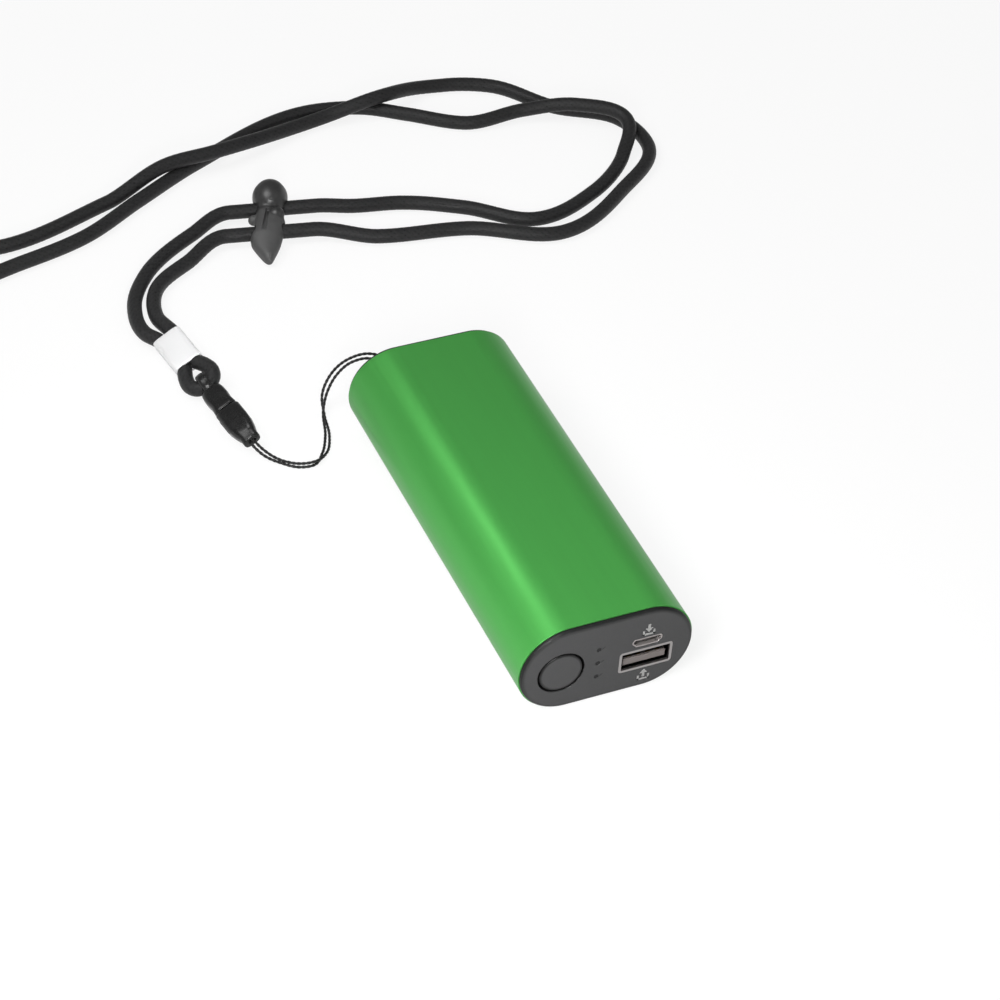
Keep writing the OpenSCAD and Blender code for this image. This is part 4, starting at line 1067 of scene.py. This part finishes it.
def textured_plastic(name, color, roughness, painted_shade=None, outline=None):
    """Moulded plastic, with a colour of painted shade on the face's lip and wherever outline gives
    a mask.
    """
    f = Finish(name, color, roughness, 0.0, Specular_IOR_Level=0.25)
    texture = f.grain(3200.0, detail=4.0)
    shade = f.vary_color(f.grain(120.0, detail=2.0), 0.14)
    f.vary_roughness(texture, roughness - 0.08, roughness + 0.06)
    f.bump(texture, 0.04 * MM, 0.5, f.soft_edge(0.2 * MM))
    # Painted shade: the lip and the outline of the face turn dark, where the gap at the sleeve and
    # the rounded edge are in shade.
    if painted_shade:
        behind = f.step(f.split(f.place())["Y"], RIM_SHADE_START * MM, RIM_SHADE_END * MM)
        mask = calc(f.tree, "MAXIMUM", behind, outline(f))
        f.feed("Base Color", f.mix(mask, shade, (*painted_shade, 1)))
    return f.material


keep(
    # The front cap's darker colour is its painted shade.
    front_cap=textured_plastic(
        "front_cap_plastic", (0.064, 0.064, 0.065), 0.5, (0.008, 0.008, 0.008), outline_shade,
    ),
    rear_cap=textured_plastic("rear_cap_plastic", (0.016, 0.016, 0.017), 0.5),
    # The button's darker colour is painted shade round its edge.
    power_button=textured_plastic(
        "button_plastic", (0.068, 0.068, 0.069), 0.48, (0.01, 0.01, 0.01), button_edge_shade,
    ),
)

# %% [markdown]
# ## The buckle and the slider: polished plastic
# Both come out of a polished mould. The buckle is glossy all over, with faint smears. The
# slider's leaf is dull and a little greyer than its head. One material covers both looks, because
# the attribute matt mixes them, so no border has to be cut into the mesh.

# %% Polished plastics
HEAD_ROUGHNESS = 0.42
LEAF_ROUGHNESS = 0.6


def slider_plastic(name, gloss, dull):
    """Polished where the attribute matt is 0, and dull and greyer where it is 1."""
    f = Finish(name, gloss, HEAD_ROUGHNESS, 0.0, Specular_IOR_Level=0.9)
    matt = f.attribute("matt")
    grain = f.grain(900.0)
    f.vary_color(grain, 0.25, f.mix(matt, (*gloss, 1), (*dull, 1)))
    rough = f.add("ShaderNodeMapRange", {}, {
        "Value": matt, "To Min": HEAD_ROUGHNESS, "To Max": LEAF_ROUGHNESS,
    })
    f.feed("Roughness", rough.outputs["Result"])
    f.bump(grain, 0.02 * MM, 0.3)
    return f.material


keep(
    gloss_black=plain_finish(
        "gloss_black", (0.01, 0.01, 0.01), 0.27, scale=260.0, amount=0.2, spread=0.081,
        Specular_IOR_Level=0.35,
    ),
    slider_black=slider_plastic("slider_black", (0.011, 0.011, 0.011), (0.056, 0.056, 0.056)),
)

# %% [markdown]
# ## Cords
# Braided polyester is matte, with a faint sheen where the yarns stand up. The mesh carries the
# height of its own relief as an attribute called lift, and the colour is painted near black where
# it is low, as painted shade in the gaps between strands. One grain makes some stretches lighter,
# where the yarns are worn, and a very fine one raises the single yarns of each strand.

# %% Cord finish
def cord_finish(name, crest, gap):
    sheen = {"Specular_IOR_Level": 0.3, "Sheen_Weight": 0.04, "Sheen_Roughness": 0.4}
    f = Finish(name, crest, 0.5, **sheen)
    # Painted shade: where lift is low, in the gaps between strands, the colour goes from the crest
    # colour to near black.
    shade = f.mix(f.step(f.attribute("lift"), 0.25, 0.85), (*gap, 1), (*crest, 1))
    f.vary_color(f.grain(800.0, detail=4.0), 0.9, shade)
    f.bump(f.grain(5200.0), 0.06 * MM, 0.6)
    return f.material


keep(
    cord=cord_finish("black_braid", (0.02, 0.02, 0.0205), (0.003, 0.003, 0.003)),
    string=cord_finish("black_twist", (0.018, 0.018, 0.018), (0.003, 0.003, 0.003)),
)

# %% [markdown]
# ## Metals and ports
# The crimp's plating is satin and looks nearly white from every side, so its finish is pale and
# only a little metallic. Port shells are tinned sheet, with faint rolling lines, and their colour
# is painted dark with depth, as painted shade where light from outside doesn't reach. The screws,
# the switch's case and the strips between the cells are rolled or drawn too, so their grain is
# stretched along them.

# %% Metals and ports
PORT_SHADE = (0.006, 0.006, 0.006)


def port_finish(name, color, roughness, metallic, start, end):
    """Sheet or moulding of a port, whose colour is painted dark as shade between two places along
    Y.
    """
    f = Finish(name, color, roughness, metallic)
    lines = f.grain(1500.0, stretch=(1, 0.1, 1))
    shade = f.vary_all(lines, 0.2, 0.2 * roughness, 0.01 * MM, 0.1 * MM)
    # Painted shade: deeper inside the port the colour goes near black, where light from outside
    # doesn't reach.
    behind = f.step(f.split(f.place())["Y"], start * MM, end * MM)
    f.feed("Base Color", f.mix(behind, shade, (*PORT_SHADE, 1)))
    return f.material


def plated(name, color, roughness, stretch=(1, 1, 1)):
    f = Finish(name, color, roughness, 1.0)
    lines = f.grain(700.0, stretch, detail=4.0)
    f.vary_all(lines, 0.08, 0.25 * roughness, 0.01 * MM, 0.1 * MM)
    return f.material


keep(
    crimp=plain_finish("bright_plate", (0.94, 0.94, 0.945), 0.4, 0.2, scale=200.0, amount=0.05),
    port_steel=port_finish("port_steel", (0.34, 0.325, 0.32), 0.4, 1.0, -55.1, -54.5),
    micro_steel=port_finish("micro_steel", (0.42, 0.39, 0.38), 0.4, 0.7, -54.7, -53.2),
    port_gold=port_finish("port_gold", (0.6, 0.42, 0.18), 0.35, 1.0, -55.0, -53.6),
    grey_plastic=port_finish("grey_plastic", (0.14, 0.13, 0.125), 0.5, 0.0, -54.0, -51.5),
    tongue=port_finish("pale_plastic", (0.2, 0.175, 0.167), 0.5, 0.0, -54.55, -53.4),
    steel=plated("tinned_steel", (0.6, 0.6, 0.6), 0.3, (1, 0.05, 1)),
    nickel=plated("rolled_nickel", (0.66, 0.64, 0.6), 0.35, (0.05, 1, 1)),
    can=plated("aluminium_can", (0.7, 0.7, 0.72), 0.3),
)

# %% [markdown]
# ## The pieces inside and the ink
# The pieces inside are only seen when someone takes the model apart, but they still get a finish
# with a grain of its own. On a circuit board the copper tracks lift the green mask a little, and
# a brick pattern is enough to suggest them.

# %% Inner finishes and ink
def board_finish():
    """Green solder mask with copper tracks that show through as a slightly lighter grid."""
    f = Finish("circuit_board", (0.012, 0.075, 0.03), 0.35)
    tracks = f.add("ShaderNodeTexBrick", {"offset": 0.37}, {
        "Vector": f.place(), "Scale": 300.0, "Mortar Size": 0.03,
        "Color1": f.color, "Color2": (0.018, 0.1, 0.04, 1), "Mortar": (0.03, 0.16, 0.06, 1),
    })
    f.vary_color(f.grain(500.0), 0.2, tracks.outputs["Color"])
    f.bump(tracks.outputs["Fac"], 0.03 * MM, 0.5)
    return f.material


keep(
    black_plastic=plain_finish("black_plastic", (0.02, 0.02, 0.02), 0.45),
    smoked=plain_finish("smoked_plastic", (0.02, 0.02, 0.02), 0.4, Specular_IOR_Level=0.15),
    chip=plain_finish("chip_epoxy", (0.02, 0.02, 0.02), 0.5, scale=3000.0, amount=0.4),
    ferrite=plain_finish("ferrite", (0.06, 0.06, 0.065), 0.6, scale=2500.0, amount=0.4),
    light=plain_finish("light_chip", (0.8, 0.75, 0.5), 0.3),
    wrap=plain_finish("cell_wrap", (0.03, 0.13, 0.35), 0.25, scale=300.0),
    film=plain_finish("heater_film", (0.55, 0.22, 0.03), 0.3, scale=400.0, amount=0.3),
    pad=plain_finish("thermal_pad", (0.35, 0.38, 0.42), 0.7, scale=1500.0),
    foam=plain_finish("foam", (0.06, 0.06, 0.065), 0.9, scale=2600.0, amount=0.6),
    red_wire=plain_finish("red_wire", (0.45, 0.01, 0.008), 0.35),
    white_wire=plain_finish("white_wire", (0.7, 0.7, 0.68), 0.4),
    board=board_finish(),
    ink=plain_finish("pale_ink", (0.4, 0.4, 0.39), 0.6, scale=4000.0, amount=0.35),
    dark_ink=plain_finish("dark_ink", (0.012, 0.012, 0.012), 0.5, scale=4000.0, amount=0.35),
)
print(len(FINISHES), "finishes in all")

# %% [markdown]
# ## Dress the frame
# Each piece of the frame keeps its shape and gets the finish that its real counterpart has.

# %% Finishes of the frame's own pieces
CAD_FINISHES = {
    "sleeve": ["sleeve"],
    "front_cap": ["front_cap"],
    "rear_cap": ["rear_cap"],
    "power_button": ["power_button"],
    "port_steel": ["usb_a_shell"],
    "micro_steel": ["micro_usb_shell"],
    "grey_plastic": ["micro_usb_tongue"],
    "steel": ["switch_case", "button_board_screws", "main_board_screws", "strap_pin"],
    "tongue": ["usb_a_tongue"],
    "black_plastic": ["switch_plunger", "cell_holder_front", "cell_holder_rear"],
    "smoked": ["light_pipes"],
    "port_gold": ["usb_a_contacts", "micro_usb_contacts"],
    "nickel": ["nickel_strip_front", "nickel_strip_rear"],
    "board": ["button_board", "main_board"],
    "chip": ["boost_chip", "control_chip", "heater_switches", "thermistor"],
    "ferrite": ["inductor"],
    "can": ["capacitors"],
    "light": ["charge_lights"],
    "wrap": ["cell_left", "cell_right"],
    "film": ["heater_film_top", "heater_film_bottom"],
    "pad": ["spreader_pad_top", "spreader_pad_bottom"],
    "foam": ["foam_pad_top", "foam_pad_bottom"],
    "red_wire": ["battery_wires"],
    "white_wire": ["thermistor_wires", "heater_wires"],
}


def dress(piece, finish):
    piece.data.materials.clear()
    piece.data.materials.append(FINISHES[finish])


for finish, names in CAD_FINISHES.items():
    for name in names:
        dress(nodes[name], finish)
print(sum(len(names) for names in CAD_FINISHES.values()), "pieces dressed")

# %% [markdown]
# ## Let each new piece ride on its body
# The frame moves as four bodies: the warmer, its button, the lanyard that unclips, and the slider.
# Every piece made here rides on one of them and stands for the plain solid that it replaces.

# %% Bodies, slots and replaced solids
for piece, body, finish, slot, replaced in [
    (neck_cord, "lanyard", "cord", "black_cord", ["neck_cord"]),
    (end_loop, "lanyard", "cord", "black_cord", ["end_loop"]),
    (crimp, "lanyard", "crimp", "crimp_metal", ["crimp_sleeve"]),
    (plug, "lanyard", "gloss_black", "gloss_black", ["buckle_plug"]),
    (socket, "warmer", "gloss_black", "gloss_black", ["buckle_socket"]),
    (strap_string, "warmer", "string", "black_cord", ["strap_string"]),
    (slider, "slider", "slider_black", "slider_plastic", ["cord_slider"]),
    (charge_mark, "warmer", "ink", "pale_plastic", []),
    (output_mark, "warmer", "ink", "pale_plastic", []),
    (light_marks, "warmer", "dark_ink", "black_plastic", []),
]:
    dress(piece, finish)
    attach(piece, body)
    if replaced:
        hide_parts(*replaced)

# %% [markdown]
# ## The table
# The photograph was taken on white, with almost no shadow. The floor is a plain pale diffuse
# surface for everything that it lights, and looks white to the camera and in reflections, while
# it keeps a part of each shadow.

# %% Floor
FLOOR_HALF = 3.0
FLOOR_DROP = 0.02 * MM
FLOOR_SHADOW = 0.15
FLOOR_BOUNCE = 0.3
WHITE = (1, 1, 1, 1)


def white_rays(tree):
    """1 for rays that should see white: from the camera, from a mirror or through glass."""
    rays = add(tree, "ShaderNodeLightPath").outputs
    seen = calc(tree, "MAXIMUM", rays["Is Camera Ray"], rays["Is Glossy Ray"])
    return calc(tree, "MAXIMUM", seen, rays["Is Transmission Ray"])


def make_floor():
    mesh = bpy.data.meshes.new("floor")
    s = FLOOR_HALF
    mesh.from_pydata([(-s, -s, 0), (s, -s, 0), (s, s, 0), (-s, s, 0)], [], [(0, 1, 2, 3)])
    floor = placed("floor", mesh)
    floor.location.z = -FLOOR_DROP
    material = bpy.data.materials.new("floor")
    material.use_nodes = True
    tree = material.node_tree
    tree.nodes.clear()
    white = white_rays(tree)
    pale = add(tree, "ShaderNodeMix", {"data_type": "RGBA"}, {
        "Factor": white, MIX_FIRST: (*[FLOOR_BOUNCE] * 3, 1), MIX_SECOND: WHITE,
    })
    lit = add(tree, "ShaderNodeBsdfDiffuse", {}, {"Color": pale.outputs[MIX_RESULT]})
    glow = add(tree, "ShaderNodeEmission", {}, {"Color": WHITE, "Strength": 1.0})
    mix = add(tree, "ShaderNodeMixShader", {}, {
        0: calc(tree, "MULTIPLY", white, 1 - FLOOR_SHADOW),
        1: lit.outputs["BSDF"], 2: glow.outputs["Emission"],
    })
    add(tree, "ShaderNodeOutputMaterial", {}, {"Surface": mix.outputs["Shader"]})
    mesh.materials.append(material)
    return floor


floor = make_floor()
print("floor", round(floor.dimensions.x, 1), "m wide")

# %% [markdown]
# ## Soft light
# Product lights are large and soft. The world is an even dim ceiling, with a low white band that
# joins the table at the horizon. Two large lamps light everything evenly. A small one near the
# front end makes that end brighter than the rear, and another draws the bright line along the
# left shoulder. The camera doesn't see the lamps themselves.

# %% World and lamps
WORLD_LIGHT = 0.26
HORIZON_TOP = 0.08
HORIZON_FADE = 0.04


def make_world():
    """An even dim ceiling, with a low white band where a level view looks past the table."""
    world = bpy.data.worlds.new("world")
    bpy.context.scene.world = world
    world.use_nodes = True
    tree = world.node_tree
    tree.nodes.clear()
    way = add(tree, "ShaderNodeTexCoord")
    split = add(tree, "ShaderNodeSeparateXYZ", {}, {0: way.outputs["Generated"]})
    low = add(tree, "ShaderNodeMapRange", {}, {
        "Value": split.outputs["Z"],
        "From Min": HORIZON_TOP + HORIZON_FADE, "From Max": HORIZON_TOP,
    })
    band = calc(tree, "MULTIPLY", low.outputs["Result"], white_rays(tree))
    level = add(tree, "ShaderNodeMapRange", {}, {"Value": band, "To Min": WORLD_LIGHT})
    back = add(tree, "ShaderNodeBackground", {}, {
        "Color": WHITE, "Strength": level.outputs["Result"],
    })
    add(tree, "ShaderNodeOutputWorld", {}, {"Surface": back.outputs["Background"]})


def lamp(name, place, target, size, power):
    """A square soft lamp, its side in metres and its power in watts."""
    data = bpy.data.lights.new(name, "AREA")
    data.size = size
    data.energy = power
    light = placed(name, data)
    light.location = place
    aim = Vector(target) - Vector(place)
    light.rotation_euler = aim.to_track_quat("-Z", "Y").to_euler()
    light.visible_camera = False


make_world()
lamp("key_light", (-0.7, 0.1, 1.1), (0, 0.05, 0), 0.7, 7)
lamp("fill_light", (0.9, -0.6, 1.0), (0, 0.05, 0), 1.0, 1.5)
lamp("front_light", (-0.1, -0.14, 0.15), (0, -0.03, 0.02), 0.07, 0.45)
lamp("shoulder_light", (-0.05, 0.117, 0.184), (-0.012, -0.03, 0.024), 0.05, 0.05)
bpy.context.scene.view_settings.view_transform = "Standard"
print("floor, world and four lamps")
